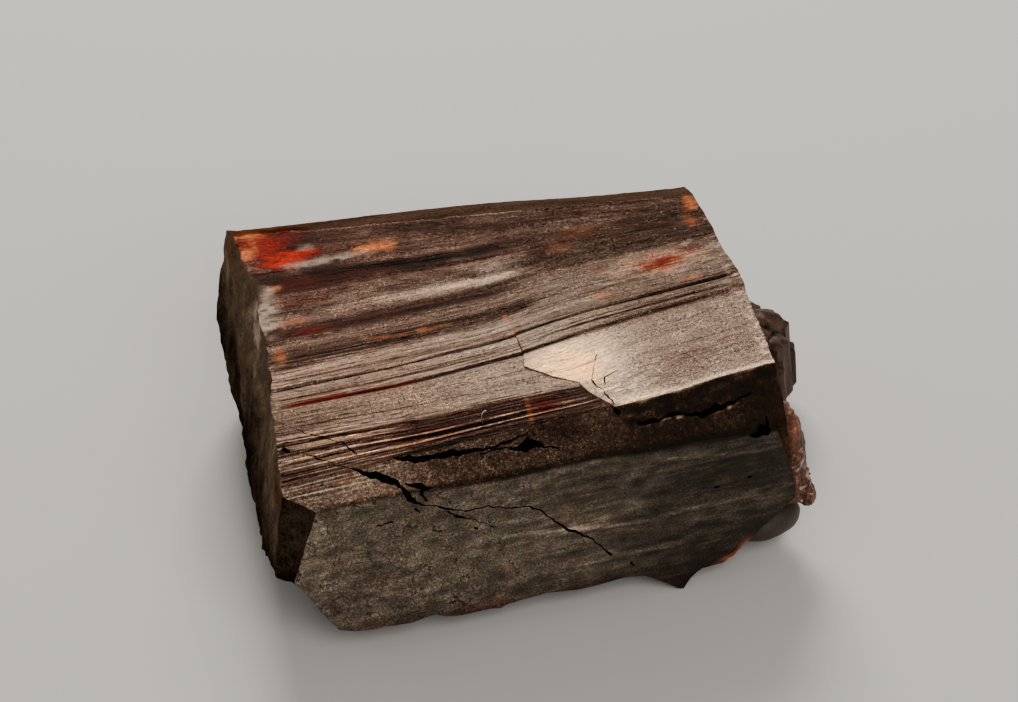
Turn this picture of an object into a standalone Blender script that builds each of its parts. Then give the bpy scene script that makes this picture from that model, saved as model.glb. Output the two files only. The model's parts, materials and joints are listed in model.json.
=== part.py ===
"""Tantalite specimen: one stout striated crystal fragment with a remnant of its matrix.

Lengths are in millimetres here and become metres when a mesh is made.  X runs along the
striations, Y from the front face to the back, Z up from the flat base.  The origin is the
middle of the resting outline.
"""

import math

import bmesh
import bpy
from mathutils import Vector, geometry, noise

MM = 0.001

# ---- overall size -----------------------------------------------------------------------
TOP_Z = 8.6             # height of the striated top face
FRONT_Y = -8.4          # plane of the grey-green front face
LEFT_X = -10.9          # furthest point of the broken left end
RIGHT_X = 8.6           # right end, without the crust and the sub-crystal
BASE_INSET = 2.0        # the chipped lower front edge overhangs the resting face by this
CLEARANCE = 0.3         # gap between the crystal and its crust

# ---- relief of the striated faces ---------------------------------------------------------
RIB_STEPS = 7           # ledges on the shoulder
RIB_RISE = 0.55         # part of each ledge's width that is its sloping riser
GROOVE_DEPTH = 0.09     # grooves along the top face
TOP_GROOVES = 12        # grooves between the dark line and the crest
BACK_LEDGES = 6         # ledges down the back face
BACK_FOOT_Z = 0.9       # the back face curves under below this
BACK_LEDGE_SHIFT = 0.16  # how far a ledge steps in or out

# ---- relief of the broken ends --------------------------------------------------------------
ROUGH_STEP = 0.75       # spacing of the break's facets
ROUGH_LEFT = 0.3        # height of the relief on the left end
ROUGH_RIGHT = 0.2       # height of the relief on the right end
ROUGH_FADE = 0.8        # the relief dies away over this distance from the rim

# ---- crystals grown onto the right end: (x, y, radius, bottom, top) of each column -------------
COLUMNS = [(8.5, 2.7, 0.85, 0.5, 3.7), (9.1, 2.0, 0.95, 0.35, 4.25), (9.75, 1.5, 0.85, 0.45, 4.3),
           (10.35, 1.55, 0.55, 0.8, 3.55), (10.45, 0.75, 0.5, 0.9, 3.1), (9.75, 0.5, 0.85, 0.5, 3.8),
           (9.0, 0.7, 1.0, 0.3, 4.1), (9.45, -0.35, 0.75, 0.7, 3.2), (8.7, -0.7, 0.8, 0.5, 3.0)]
COLUMN_SIDES = 6
COLUMN_PROFILE = [(0.0, 0.0, 0.75), (0.0, 0.3, 1.0), (1.0, -0.32, 0.95), (1.0, 0.0, 0.6)]
#                 each ring: part of the height, mm beyond it, share of the radius

# ---- other lumps on the right end: centre and half-sizes ---------------------------------------
LOW_LUMP = ((7.3, -6.9, 1.4), (1.5, 1.1, 0.75))       # lump under the lower right corner
CRUST = [((8.42, -6.5, 3.9), (0.6, 1.4, 2.2), 0.25),  # the matrix left on the right end
         ((8.5, -6.8, 2.9), (0.78, 1.15, 1.15), 0.25),  # its thicker lower part
         ((9.0, -7.3, 2.55), (0.42, 0.6, 0.65), 0.35)]  # its furthest knob; last: roughness

# ---- how finely the crystal is lofted ---------------------------------------------------------
STATIONS_LEFT = 24      # cross-sections from the left end to the seam
STATIONS_RIGHT = 20     # cross-sections from the seam to the right end
OVERRUN = 1.6           # extra length at both ends, cut away by the end facets

# ---- the seam between the two growth sectors, seen from above (x, y) ------------------------
SEAM = [(-0.3, -1.6), (-0.4, -3.6), (-0.5, -4.4), (0.0, -4.95), (1.2, -6.05), (2.0, -7.55)]

# ---- lines that run the length of the crystal: (x, y, z) at the left, the seam, the right ---
SHOULDER_EDGE = [(-10.0, -7.25, 7.7), (-6.0, -7.15, 7.9), (-0.8, -7.36, 8.25), (2.0, -7.6, 8.5),
                 (2.6, -7.7, TOP_Z), (4.6, -7.5, TOP_Z), (6.0, -7.25, TOP_Z), (8.2, -7.1, TOP_Z)]
RIB_TOP = [(-9.7, -5.5, 8.4), (-4.3, -5.9, 8.5), (1.1, -6.05, TOP_Z), (3.6, -5.1, TOP_Z),
           (8.2, -4.5, TOP_Z)]
RED_LINE = [(-9.6, -3.95, TOP_Z), (-0.4, -3.7, TOP_Z), (3.8, -2.9, TOP_Z), (8.3, -2.4, TOP_Z)]
DARK_LINE = [(-9.5, -2.9, TOP_Z), (-0.5, -2.6, TOP_Z), (2.5, -1.95, TOP_Z), (8.4, -1.4, TOP_Z)]
CREST = [(-9.4, 6.9, TOP_Z), (8.0, 3.7, TOP_Z)]
BACK_EDGE = [(-9.4, 8.35, 8.0), (8.0, 5.25, 8.0)]
BEVEL_FOOT = [(-9.1, FRONT_Y, 7.2), (-2.4, FRONT_Y, 6.95), (2.0, FRONT_Y, 7.0), (7.8, FRONT_Y, 6.6)]
BEVEL_BEND = [(-10.0, -7.72, 7.45), (-4.0, -7.75, 7.65), (1.6, -7.84, 7.86), (2.4, -7.74, 7.8),
              (3.4, -7.82, 7.62), (6.4, -7.68, 7.68), (8.1, -7.38, 7.83)]

# ---- ragged lower edge of the front face (x, z) ---------------------------------------------
LOWER_EDGE = [(-10.5, 1.6), (-8.9, 1.5), (-8.3, 1.3), (-7.4, 1.15), (-6.4, 1.15), (-5.3, 1.3),
              (-4.3, 1.02), (-2.9, 1.05), (-1.2, 1.22), (0.0, 1.05), (1.7, 1.16), (2.6, 1.0),
              (3.1, 0.6), (3.9, 0.1), (4.2, 0.45), (4.6, 0.82), (5.5, 0.88), (6.0, 1.05),
              (6.4, 1.5), (8.4, 1.7)]


def clamp(value, low=0.0, high=1.0):
    return max(low, min(high, value))


def along(points, x):
    """Read a line given by points with rising x: every coordinate after x, at this x."""
    if x <= points[0][0]:
        return points[0][1:]
    for before, after in zip(points, points[1:]):
        if x <= after[0]:
            part = (x - before[0]) / (after[0] - before[0])
            return tuple(a + (b - a) * part for a, b in zip(before[1:], after[1:]))
    return points[-1][1:]


def lumps(x, y, z, size, seed):
    """Smooth seeded noise from -1 to 1 whose lumps are about `size` mm across."""
    place = Vector((x / size + seed * 7.3, y / size - seed * 3.1, z / size + seed * 5.7))
    return noise.noise(place)


def seam_x(y):
    """Where the seam crosses at depth y; it runs straight on beyond its ends."""
    rising = sorted((py, px) for px, py in SEAM)
    return along(rising, y)[0]


# ---- cross-section ---------------------------------------------------------------------------
def between(x, lower, upper, part, drop=0.0):
    """A point a part of the way from one line to the next, pushed down by drop."""
    y0, z0 = along(lower, x)
    y1, z1 = along(upper, x)
    return (y0 + (y1 - y0) * part, z0 + (z1 - z0) * part - drop)


def shoulder_ledges(x):
    """The ribbed shoulder: a stair of narrow bright treads and sloping risers."""
    points = []
    for step in range(RIB_STEPS):
        foot = step / RIB_STEPS
        brink = foot + RIB_RISE / RIB_STEPS
        y0, z0 = between(x, SHOULDER_EDGE, RIB_TOP, foot)
        y1, z1 = between(x, SHOULDER_EDGE, RIB_TOP, (step + 1) / RIB_STEPS)
        if step:
            points.append((y0, z0))
        points.append((y0 + (y1 - y0) * (brink - foot) * RIB_STEPS, z0 + (z1 - z0) * 0.92))
    return points


def top_lines(x):
    """The top face: two sharp grooves, then shallow uneven striations up to the crest."""
    points = [between(x, RIB_TOP, RED_LINE, 0.0),
              between(x, RIB_TOP, RED_LINE, 0.45, -0.02),
              between(x, RIB_TOP, RED_LINE, 0.9),
              between(x, RED_LINE, DARK_LINE, 0.0, GROOVE_DEPTH),
              between(x, RED_LINE, DARK_LINE, 0.15),
              between(x, RED_LINE, DARK_LINE, 0.5, GROOVE_DEPTH * 0.6),
              between(x, RED_LINE, DARK_LINE, 0.6),
              between(x, RED_LINE, DARK_LINE, 0.93),
              between(x, DARK_LINE, CREST, 0.0, GROOVE_DEPTH)]
    for line in range(1, TOP_GROOVES):
        part = (line + 0.25 * math.sin(line * 2.4)) / TOP_GROOVES
        depth = GROOVE_DEPTH * (0.6 + 0.6 * lumps(x * 0.15, line * 2.7, 0.0, 1.0, 3))
        points.append(between(x, DARK_LINE, CREST, part - 0.4 / TOP_GROOVES))
        points.append(between(x, DARK_LINE, CREST, part, depth))
    points.append(between(x, CREST, BACK_EDGE, 0.0))
    points.append(between(x, CREST, BACK_EDGE, 0.5, -0.08))
    return points


def back_ledges(x):
    """The back face: coarse ledges parallel to the striations, stepping in and out."""
    edge_y, edge_z = along(BACK_EDGE, x)
    points = [(edge_y, edge_z)]
    for ledge in range(BACK_LEDGES):
        upper = edge_z + (BACK_FOOT_Z - edge_z) * (ledge + 0.75) / BACK_LEDGES
        lower = edge_z + (BACK_FOOT_Z - edge_z) * (ledge + 1) / BACK_LEDGES
        shift = BACK_LEDGE_SHIFT * lumps(x * 0.2, ledge * 3.1, 0.0, 1.0, 5)
        points.append((edge_y - 0.05 + shift, upper))
        points.append((edge_y - 0.2 + shift * 0.5, lower))
    return points


def section(x):
    """The closed outline of the crystal at x, as (y, z), from the base's front edge round."""
    lower_z = along(LOWER_EDGE, x)[0]
    foot_y, foot_z = along(BEVEL_FOOT, x)
    base_y = FRONT_Y + BASE_INSET + 0.3 * lumps(x, 0.0, 0.0, 1.7, 1)
    chip_y = FRONT_Y + BASE_INSET * 0.42 + 0.2 * lumps(x, 3.0, 0.0, 1.1, 2)
    points = [(base_y, 0.0),
              (chip_y, lower_z * 0.62),
              (FRONT_Y, lower_z),
              (FRONT_Y - 0.03, 0.5 * (lower_z + foot_z)),
              (foot_y, foot_z),
              along(BEVEL_BEND, x),
              along(SHOULDER_EDGE, x)]
    points += shoulder_ledges(x)
    points += top_lines(x)
    points += back_ledges(x)
    back_y = along(BACK_EDGE, x)[0]
    points.append((back_y - 1.1 + 0.3 * lumps(x, 6.0, 0.0, 1.9, 4), 0.0))
    return points


def seam_crossing(row):
    """The x at which one line of the section meets the seam."""
    x = 0.0
    for _ in range(6):
        x = seam_x(section(x)[row][0])
    return x


def striated_prism():
    """Loft the cross-sections.  The columns bend so that one of them follows the seam."""
    left, right = LEFT_X - OVERRUN, RIGHT_X + OVERRUN
    mesh = bmesh.new()
    middles = [seam_crossing(row) for row in range(len(section(0.0)))]
    columns = []
    for station in range(STATIONS_LEFT + STATIONS_RIGHT + 1):
        column = []
        for row, middle in enumerate(middles):
            if station <= STATIONS_LEFT:
                x = left + (middle - left) * station / STATIONS_LEFT
            else:
                x = middle + (right - middle) * (station - STATIONS_LEFT) / STATIONS_RIGHT
            y, z = section(x)[row]
            column.append(mesh.verts.new((x * MM, y * MM, z * MM)))
        columns.append(column)
    count = len(middles)
    for first, second in zip(columns, columns[1:]):
        for row in range(count):
            after = (row + 1) % count
            mesh.faces.new((first[row], second[row], second[after], first[after]))
    mesh.faces.new(columns[0])
    mesh.faces.new(reversed(columns[-1]))
    bmesh.ops.recalc_face_normals(mesh, faces=mesh.faces)
    return mesh


def cut_facet(mesh, point, outward):
    """Slice off everything beyond a plane and close the cut with one flat face."""
    geom = mesh.verts[:] + mesh.edges[:] + mesh.faces[:]
    bmesh.ops.bisect_plane(mesh, geom=geom, dist=1e-8, plane_co=Vector(point) * MM,
                           plane_no=Vector(outward), clear_outer=True)
    rim = [edge for edge in mesh.edges if edge.is_boundary]
    if rim:
        bmesh.ops.holes_fill(mesh, edges=rim, sides=0)


# ---- broken ends -------------------------------------------------------------------------------
# A facet is a point on it and its outward direction (dx, dy, dz).
LEFT_FACETS = [((-10.8, -4.0, 3.9), (-1.0, 0.03, 0.25)),       # leans out from the top rim
               ((-10.8, -4.0, 3.9), (-1.0, 0.03, -0.3)),       # undercut below the ridge
               ((-9.1, FRONT_Y, 7.2), (-1.0, -1.43, 0.38))]    # small dark corner facet
RIGHT_FACETS = [((8.22, -5.0, TOP_Z), (1.0, 0.03, 0.04)),      # main break
                ((7.74, FRONT_Y, 6.55), (1.0, -0.86, 0.25)),   # pitted front corner
                ((6.35, FRONT_Y, 1.6), (1.0, -0.9, -1.17))]    # cut-off lower corner
# The block missing from the lower left corner, as (x, z) corners at its front and back.
BITE_FRONT_Y, BITE_BACK_Y = -9.4, 1.6
BITE_FRONT = [(-13.0, 4.2), (-10.05, 4.2), (-7.35, -1.0), (-13.0, -1.0)]
BITE_BACK = [(-13.0, 3.8), (-12.05, 3.8), (-9.55, -1.0), (-13.0, -1.0)]


def roughen(mesh, face, height, seed):
    """Break one flat facet into small irregular ones, level at its rim."""
    normal = face.normal.copy()
    across = normal.cross(Vector((0.0, 0.0, 1.0))).normalized()
    upward = normal.cross(across)
    origin = face.calc_center_median()
    rim = list(face.verts)
    flat = [Vector(((v.co - origin).dot(across), (v.co - origin).dot(upward))) for v in rim]
    step = ROUGH_STEP * MM
    low = [min(p[k] for p in flat) for k in (0, 1)]
    high = [max(p[k] for p in flat) for k in (0, 1)]
    inner = []
    for i in range(1, int((high[0] - low[0]) / step) + 1):
        for j in range(1, int((high[1] - low[1]) / step) + 1):
            jitter = lumps(i, j, seed, 1.7, seed) * 0.8 * step
            point = Vector((low[0] + (i - 0.5) * step + jitter, low[1] + (j - 0.5) * step - jitter))
            if inside(point, flat) and rim_distance(point, flat) > 0.45 * step:
                inner.append(point)
    count = len(flat)
    edges = [(i, (i + 1) % count) for i in range(count)]
    points, _, triangles, origins, _, _ = geometry.delaunay_2d_cdt(
        flat + inner, edges, [list(range(count))], 1, 1e-9)
    made = []
    for point, source in zip(points, origins):
        if source and source[0] < count:
            made.append(rim[source[0]])
            continue
        place = origin + across * point[0] + upward * point[1]
        x, y, z = place / MM
        fade = clamp(rim_distance(point, flat) / (ROUGH_FADE * MM))
        relief = lumps(x, y, z, 2.6, seed) + 0.6 * lumps(x, y, z, 1.1, seed + 1) - 0.35
        made.append(mesh.verts.new(place + normal * relief * height * MM * fade))
    bmesh.ops.delete(mesh, geom=[face], context="FACES_ONLY")
    for triangle in triangles:
        mesh.faces.new([made[i] for i in triangle])


def inside(point, outline):
    """Whether a flat point lies inside an outline."""
    hit = False
    for a, b in zip(outline, outline[1:] + outline[:1]):
        if (a[1] > point[1]) != (b[1] > point[1]):
            if point[0] < a[0] + (b[0] - a[0]) * (point[1] - a[1]) / (b[1] - a[1]):
                hit = not hit
    return hit


def rim_distance(point, outline):
    """Distance from a flat point to an outline."""
    nearest = math.inf
    for a, b in zip(outline, outline[1:] + outline[:1]):
        side = b - a
        part = clamp((point - a).dot(side) / max(side.length_squared, 1e-18))
        nearest = min(nearest, (point - a - side * part).length)
    return nearest


def break_ends(mesh):
    """Cut the end facets, then roughen the large ones."""
    for point, outward in LEFT_FACETS + RIGHT_FACETS:
        cut_facet(mesh, point, outward)
    for facets, height, seed in ((LEFT_FACETS[:2], ROUGH_LEFT, 11), (RIGHT_FACETS[:1], ROUGH_RIGHT, 23)):
        for _, outward in facets:
            wanted = Vector(outward).normalized()
            faces = [f for f in mesh.faces if f.normal.dot(wanted) > 0.9999 and len(f.verts) > 8]
            for face in faces:
                roughen(mesh, face, height, seed)


# ---- lumps grown onto the crystal ----------------------------------------------------------
def lump(name, middle, half_sizes, rough, seed, blocky=0.8):
    """A rounded body with irregular facets; blocky below 1 squares its top and bottom."""
    mesh = bmesh.new()
    bmesh.ops.create_icosphere(mesh, subdivisions=3, radius=1.0)
    for vert in mesh.verts:
        x, y, z = vert.co
        level = math.copysign(abs(z) ** blocky, z)
        swell = 1.0 + rough * lumps(x, y, z, 0.7, seed)
        place = [m + p * h for m, p, h in zip(middle, (x * swell, y * swell, level), half_sizes)]
        vert.co = Vector(place) * MM
    return new_object(name, mesh)


def column(name, x, y, radius, bottom, top, seed):
    """One small upright crystal: an uneven prism whose ends draw in."""
    mesh = bmesh.new()
    rings = []
    for part, beyond, draw in COLUMN_PROFILE:
        z = bottom + (top - bottom) * part + beyond
        ring = []
        for k in range(COLUMN_SIDES):
            turn = 2.0 * math.pi * (k + 0.35 * lumps(k, seed, 0.0, 0.8, 7)) / COLUMN_SIDES
            reach = radius * draw * (1.0 + 0.2 * lumps(k * 1.3, seed, 1.0, 0.7, 8))
            tilt = 0.12 * lumps(k, seed, 2.0, 0.9, 9)
            ring.append(mesh.verts.new(Vector((x + reach * math.cos(turn), y + reach * math.sin(turn),
                                               z + tilt)) * MM))
        rings.append(ring)
    for lower, upper in zip(rings, rings[1:]):
        for k in range(COLUMN_SIDES):
            after = (k + 1) % COLUMN_SIDES
            mesh.faces.new((lower[k], lower[after], upper[after], upper[k]))
    mesh.faces.new(rings[0][::-1])
    mesh.faces.new(rings[-1])
    bmesh.ops.triangulate(mesh, faces=mesh.faces)
    return new_object(name, mesh)


# ---- pits and cracks: points along the opening (x, y, z, half-width), and a depth -------------
FRONT_PIT = ([(-6.0, -7.12, 7.93, 0.01), (-5.65, -7.26, 7.86, 0.05), (-5.1, -7.41, 7.82, 0.1),
              (-4.5, -7.48, 7.81, 0.09), (-3.8, -7.5, 7.85, 0.11), (-3.2, -7.58, 7.84, 0.11),
              (-2.7, -7.62, 7.84, 0.05), (-1.6, -7.56, 7.99, 0.02)], 0.7)
SPLIT_PIT = ([(-7.6, -7.12, 7.87, 0.02), (-7.25, -7.35, 7.75, 0.09), (-6.93, -7.49, 7.68, 0.16),
              (-6.5, -7.72, 7.58, 0.16), (-6.1, -7.92, 7.45, 0.1), (-5.95, -8.13, 7.29, 0.04)], 0.8)
SPLIT_TAIL = ([(-6.1, -7.95, 7.4, 0.03), (-5.77, -8.35, 7.12, 0.07), (-5.66, -8.4, 6.86, 0.09),
               (-5.5, -8.4, 6.67, 0.04), (-5.06, -8.41, 6.43, 0.03), (-4.6, -8.41, 6.23, 0.035),
               (-4.14, -8.41, 5.99, 0.03), (-3.25, -8.41, 5.72, 0.02)], 0.45)
SIDE_PIT = ([(-5.81, -8.02, 7.37, 0.02), (-5.52, -8.11, 7.31, 0.06), (-5.23, -8.22, 7.21, 0.09),
             (-4.85, -8.3, 7.13, 0.03)], 0.4)
EDGE_CRACK = ([(2.8, -7.82, 7.74, 0.035), (3.57, -7.84, 7.68, 0.055), (4.0, -7.78, 7.75, 0.06),
               (4.43, -7.78, 7.72, 0.03), (4.83, -7.82, 7.58, 0.055), (5.2, -7.8, 7.56, 0.11),
               (5.63, -7.76, 7.6, 0.08), (6.14, -7.72, 7.65, 0.055), (6.6, -7.64, 7.72, 0.05),
               (7.13, -7.5, 7.82, 0.025)], 0.6)
SEAM_CRACK = ([(-0.38, -2.9, 8.6, 0.02), (-0.39, -3.8, 8.6, 0.025), (-0.52, -4.46, 8.6, 0.03),
               (-0.19, -4.76, 8.6, 0.03), (0.7, -5.52, 8.6, 0.025), (1.2, -6.1, 8.58, 0.025),
               (1.43, -6.59, 8.54, 0.025), (1.7, -6.95, 8.52, 0.02)], 0.25)
FORK_CRACK = ([(2.2, -4.58, 8.62, 0.015), (1.9, -5.2, 8.6, 0.02), (1.61, -5.99, 8.6, 0.03),
               (1.92, -6.61, 8.55, 0.025), (2.09, -7.49, 8.53, 0.04), (2.15, -7.72, 8.35, 0.08),
               (2.28, -7.82, 8.15, 0.03)], 0.3)
FRONT_CRACK = ([(-2.93, -8.41, 5.84, 0.025), (-1.98, -8.41, 5.53, 0.03), (-1.46, -8.42, 5.42, 0.025),
                (-0.77, -8.42, 4.75, 0.025), (-0.13, -8.43, 3.95, 0.055), (0.12, -8.43, 3.83, 0.045),
                (0.68, -8.42, 3.32, 0.03), (1.05, -8.42, 2.76, 0.03), (1.35, -8.41, 2.33, 0.05)],
               0.35)
WEDGE_PIT = ([(-1.5, -7.8, 7.78), (-1.1, -7.66, 7.95), (-0.72, -7.91, 7.69), (-1.0, -7.96, 7.62),
              (-1.42, -7.95, 7.6)], 0.5)
CORNER_PIT = ([(6.93, -8.4, 6.51), (7.24, -8.36, 6.71), (7.48, -8.28, 6.9), (7.66, -8.36, 6.6),
               (7.57, -8.4, 6.28), (7.3, -8.4, 6.45)], 0.45)
CORNER_CHIP = ([(7.5, -7.6, 7.9), (8.3, -7.5, 7.95), (8.3, -8.1, 6.95), (7.95, -8.2, 6.85),
                (7.75, -8.0, 7.35)], 0.14)
RIM_PIT = ([(-9.9, -5.7, 8.35), (-9.6, -5.75, 8.35), (-9.4, -6.02, 8.3), (-9.85, -6.1, 8.2)], 0.35)
DOWN_SLOPE = (0.0, -0.55, 0.84)     # outward from the bevel
STEEP_SLOPE = (0.0, -0.8, 0.6)
FORWARD = (0.0, -1.0, 0.0)
UPWARD = (0.0, 0.0, 1.0)
BLADES = [("front_pit", FRONT_PIT, DOWN_SLOPE), ("split_pit", SPLIT_PIT, DOWN_SLOPE),
          ("split_tail", SPLIT_TAIL, STEEP_SLOPE), ("side_pit", SIDE_PIT, STEEP_SLOPE),
          ("edge_crack", EDGE_CRACK, STEEP_SLOPE), ("seam_crack", SEAM_CRACK, UPWARD),
          ("fork_crack", FORK_CRACK, UPWARD), ("front_crack", FRONT_CRACK, FORWARD)]
PUNCHES = [("wedge_pit", WEDGE_PIT, DOWN_SLOPE), ("corner_pit", CORNER_PIT, STEEP_SLOPE),
           ("corner_chip", CORNER_CHIP, (0.3, -0.8, 0.5)), ("rim_pit", RIM_PIT, UPWARD)]
RIM_NOTCHES = [((-9.45, 1.4, 8.8), (0.6, 2.5, 1.2)), ((-9.3, 3.9, 8.75), (0.7, 1.2, 0.9))]
REACH = 0.4             # a cutter starts this far outside the surface
FLOOR_SHARE = 0.7       # a punched pit's floor, as a share of its rim


def blade(name, opening, outward):
    """A cutter for a pit or crack: a zigzag wedge that narrows to its bottom."""
    points, depth = opening
    out = Vector(outward).normalized()
    mesh = bmesh.new()
    rings = []
    for i, (x, y, z, half_width) in enumerate(points):
        here = Vector((x, y, z))
        before = Vector(points[max(i - 1, 0)][:3])
        after = Vector(points[min(i + 1, len(points) - 1)][:3])
        side = (after - before).cross(out).normalized() * half_width
        top = here + out * REACH
        bottom = here - out * depth * (0.35 + 0.65 * math.sin(math.pi * (i + 0.5) / len(points)))
        ring = [top - side * 1.6, top + side * 1.6, bottom + side * 0.4, bottom - side * 0.4]
        rings.append([mesh.verts.new(point * MM) for point in ring])
    for first, second in zip(rings, rings[1:]):
        for k in range(4):
            mesh.faces.new((first[k], first[(k + 1) % 4], second[(k + 1) % 4], second[k]))
    mesh.faces.new(rings[0][::-1])
    mesh.faces.new(rings[-1])
    bmesh.ops.recalc_face_normals(mesh, faces=mesh.faces)
    return new_object(name, mesh)


def punch(name, opening, outward):
    """A cutter for an angular pit: its outline, pushed outward and drawn in to a smaller floor."""
    outline, depth = opening
    out = Vector(outward).normalized()
    middle = sum((Vector(point) for point in outline), Vector()) / len(outline)
    mesh = bmesh.new()
    tops = [mesh.verts.new((Vector(point) + out * REACH) * MM) for point in outline]
    floor = [mesh.verts.new((middle.lerp(Vector(point), FLOOR_SHARE) - out * depth) * MM)
             for point in outline]
    mesh.faces.new(tops)
    mesh.faces.new(floor[::-1])
    for k in range(len(tops)):
        after = (k + 1) % len(tops)
        mesh.faces.new((tops[k], floor[k], floor[after], tops[after]))
    bmesh.ops.triangulate(mesh, faces=mesh.faces)
    bmesh.ops.recalc_face_normals(mesh, faces=mesh.faces)
    return new_object(name, mesh)


def corner_bite():
    """The wedge-shaped block that has broken away below the left ridge."""
    mesh = bmesh.new()
    front = [mesh.verts.new(Vector((x, BITE_FRONT_Y, z)) * MM) for x, z in BITE_FRONT]
    back = [mesh.verts.new(Vector((x, BITE_BACK_Y, z)) * MM) for x, z in BITE_BACK]
    mesh.faces.new(front)
    mesh.faces.new(back[::-1])
    for k in range(4):
        mesh.faces.new((front[k], back[k], back[(k + 1) % 4], front[(k + 1) % 4]))
    bmesh.ops.recalc_face_normals(mesh, faces=mesh.faces)
    return new_object("corner_bite", mesh)


def pebble(name, middle, half_sizes, seed):
    """A small irregular cutter for a pit or a notch."""
    mesh = bmesh.new()
    bmesh.ops.create_icosphere(mesh, subdivisions=2, radius=1.0)
    for vert in mesh.verts:
        x, y, z = vert.co
        swell = 1.0 + 0.35 * lumps(x, y, z, 0.9, seed)
        vert.co = Vector([m + p * h * swell for m, p, h in zip(middle, (x, y, z), half_sizes)]) * MM
    return new_object(name, mesh)


# ---- the crust -------------------------------------------------------------------------------


def crust_knobs(extra):
    """The knobs that make the crust, each grown outward by extra."""
    return [lump(f"crust_knob_{i + 1}", middle, [h + extra for h in half_sizes], rough, seed=31 + i * 3)
            for i, (middle, half_sizes, rough) in enumerate(CRUST)]


def low_lump(extra):
    middle, half_sizes = LOW_LUMP
    return lump("low_lump", middle, [h + extra for h in half_sizes], rough=0.22, seed=43)


def matrix_crust():
    """Iron-stained matrix: rough knobs in one, clear of the lump below it."""
    body, *knobs = crust_knobs(0.0)
    body.name = "matrix_crust"
    for knob in knobs:
        fuse(body, knob)
    carve(body, low_lump(CLEARANCE))
    return body


# ---- objects, modifiers and materials ----------------------------------------------------------
def new_object(name, mesh):
    """Turn a bmesh into an object at the origin."""
    data = bpy.data.meshes.new(name)
    mesh.to_mesh(data)
    mesh.free()
    return bpy.data.objects.new(name, data)


def place_in(collection, thing):
    collection.objects.link(thing)
    return thing


def boolean(body, other, operation):
    cut = body.modifiers.new(other.name, "BOOLEAN")
    cut.operation = operation
    cut.solver = "EXACT"
    cut.object = other


def fuse(body, other):
    place_in(CUTTERS, other)
    boolean(body, other, "UNION")


def carve(body, other):
    place_in(CUTTERS, other)
    boolean(body, other, "DIFFERENCE")


def finish(body, name, color, roughness, metallic):
    """One Principled material a piece; color is sRGB, 0 to 1."""
    material = bpy.data.materials.new(name)
    material.use_nodes = True
    shader = material.node_tree.nodes["Principled BSDF"]
    linear = [c / 12.92 if c <= 0.04045 else ((c + 0.055) / 1.055) ** 2.4 for c in color]
    shader.inputs["Base Color"].default_value = (*linear, 1.0)
    shader.inputs["Roughness"].default_value = roughness
    shader.inputs["Metallic"].default_value = metallic
    body.data.materials.clear()
    body.data.materials.append(material)


def tantalite_crystal():
    """The whole crystal: prism, broken ends, grown lumps, pits, cracks and chipped rims."""
    mesh = striated_prism()
    break_ends(mesh)
    bmesh.ops.triangulate(mesh, faces=mesh.faces)
    body = new_object("tantalite_crystal", mesh)
    carve(body, corner_bite())
    for room in crust_knobs(CLEARANCE):
        carve(body, room)
    for i, place in enumerate(COLUMNS):
        fuse(body, column(f"column_{i + 1}", *place, seed=i * 2.3))
    fuse(body, low_lump(0.0))
    for i, (middle, half_sizes) in enumerate(RIM_NOTCHES):
        carve(body, pebble(f"rim_notch_{i + 1}", middle, half_sizes, 51 + i))
    for name, opening, outward in PUNCHES:
        carve(body, punch(name, opening, outward))
    for name, opening, outward in BLADES:
        carve(body, blade(name, opening, outward))
    return body


for old in list(bpy.data.objects):
    bpy.data.objects.remove(old, do_unlink=True)

PARTS = bpy.data.collections.new("tantalite_specimen")
CUTTERS = bpy.data.collections.new("cutters")
for group in (PARTS, CUTTERS):
    bpy.context.scene.collection.children.link(group)

crystal = place_in(PARTS, tantalite_crystal())
finish(crystal, "striated_tantalite", (0.27, 0.21, 0.17), 0.35, 0.3)
crust = place_in(PARTS, matrix_crust())
finish(crust, "iron_stained_matrix", (0.60, 0.36, 0.24), 0.8, 0.0)
for cutter in CUTTERS.objects:
    cutter.hide_render = True
    cutter.display_type = "WIRE"
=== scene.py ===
import json
import math

import bmesh
import bpy
import numpy as np
from mathutils import Matrix, Vector, geometry

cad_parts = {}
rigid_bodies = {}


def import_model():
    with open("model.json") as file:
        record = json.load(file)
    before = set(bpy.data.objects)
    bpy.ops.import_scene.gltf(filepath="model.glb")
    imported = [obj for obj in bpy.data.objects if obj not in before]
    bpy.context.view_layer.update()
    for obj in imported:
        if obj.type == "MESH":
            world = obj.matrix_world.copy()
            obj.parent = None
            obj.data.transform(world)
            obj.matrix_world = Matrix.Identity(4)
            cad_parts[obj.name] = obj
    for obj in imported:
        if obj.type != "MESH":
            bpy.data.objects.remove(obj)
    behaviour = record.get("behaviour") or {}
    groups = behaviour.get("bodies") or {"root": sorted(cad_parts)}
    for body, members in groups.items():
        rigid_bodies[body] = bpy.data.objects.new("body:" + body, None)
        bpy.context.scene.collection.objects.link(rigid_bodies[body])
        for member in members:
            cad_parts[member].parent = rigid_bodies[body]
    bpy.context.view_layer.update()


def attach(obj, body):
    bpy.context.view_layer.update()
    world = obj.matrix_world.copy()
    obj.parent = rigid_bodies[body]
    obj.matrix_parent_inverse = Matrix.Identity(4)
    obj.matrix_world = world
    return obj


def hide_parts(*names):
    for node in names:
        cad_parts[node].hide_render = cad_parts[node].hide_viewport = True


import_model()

# ======== THE CRYSTAL: ITS FORM ===============================================================
# Tantalite, a heavy brown-black ore, which grew as a striated prism and broke off at both ends.
# It is lofted from lines in millimetres: X along the striations, Y from front to back, Z up.  A
# second measure, v, counts across the striations and stays the same along each, even where they bend.


def line(*points):
    """A line along the crystal, as rows of x, y, z."""
    return np.array(points, float)


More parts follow.
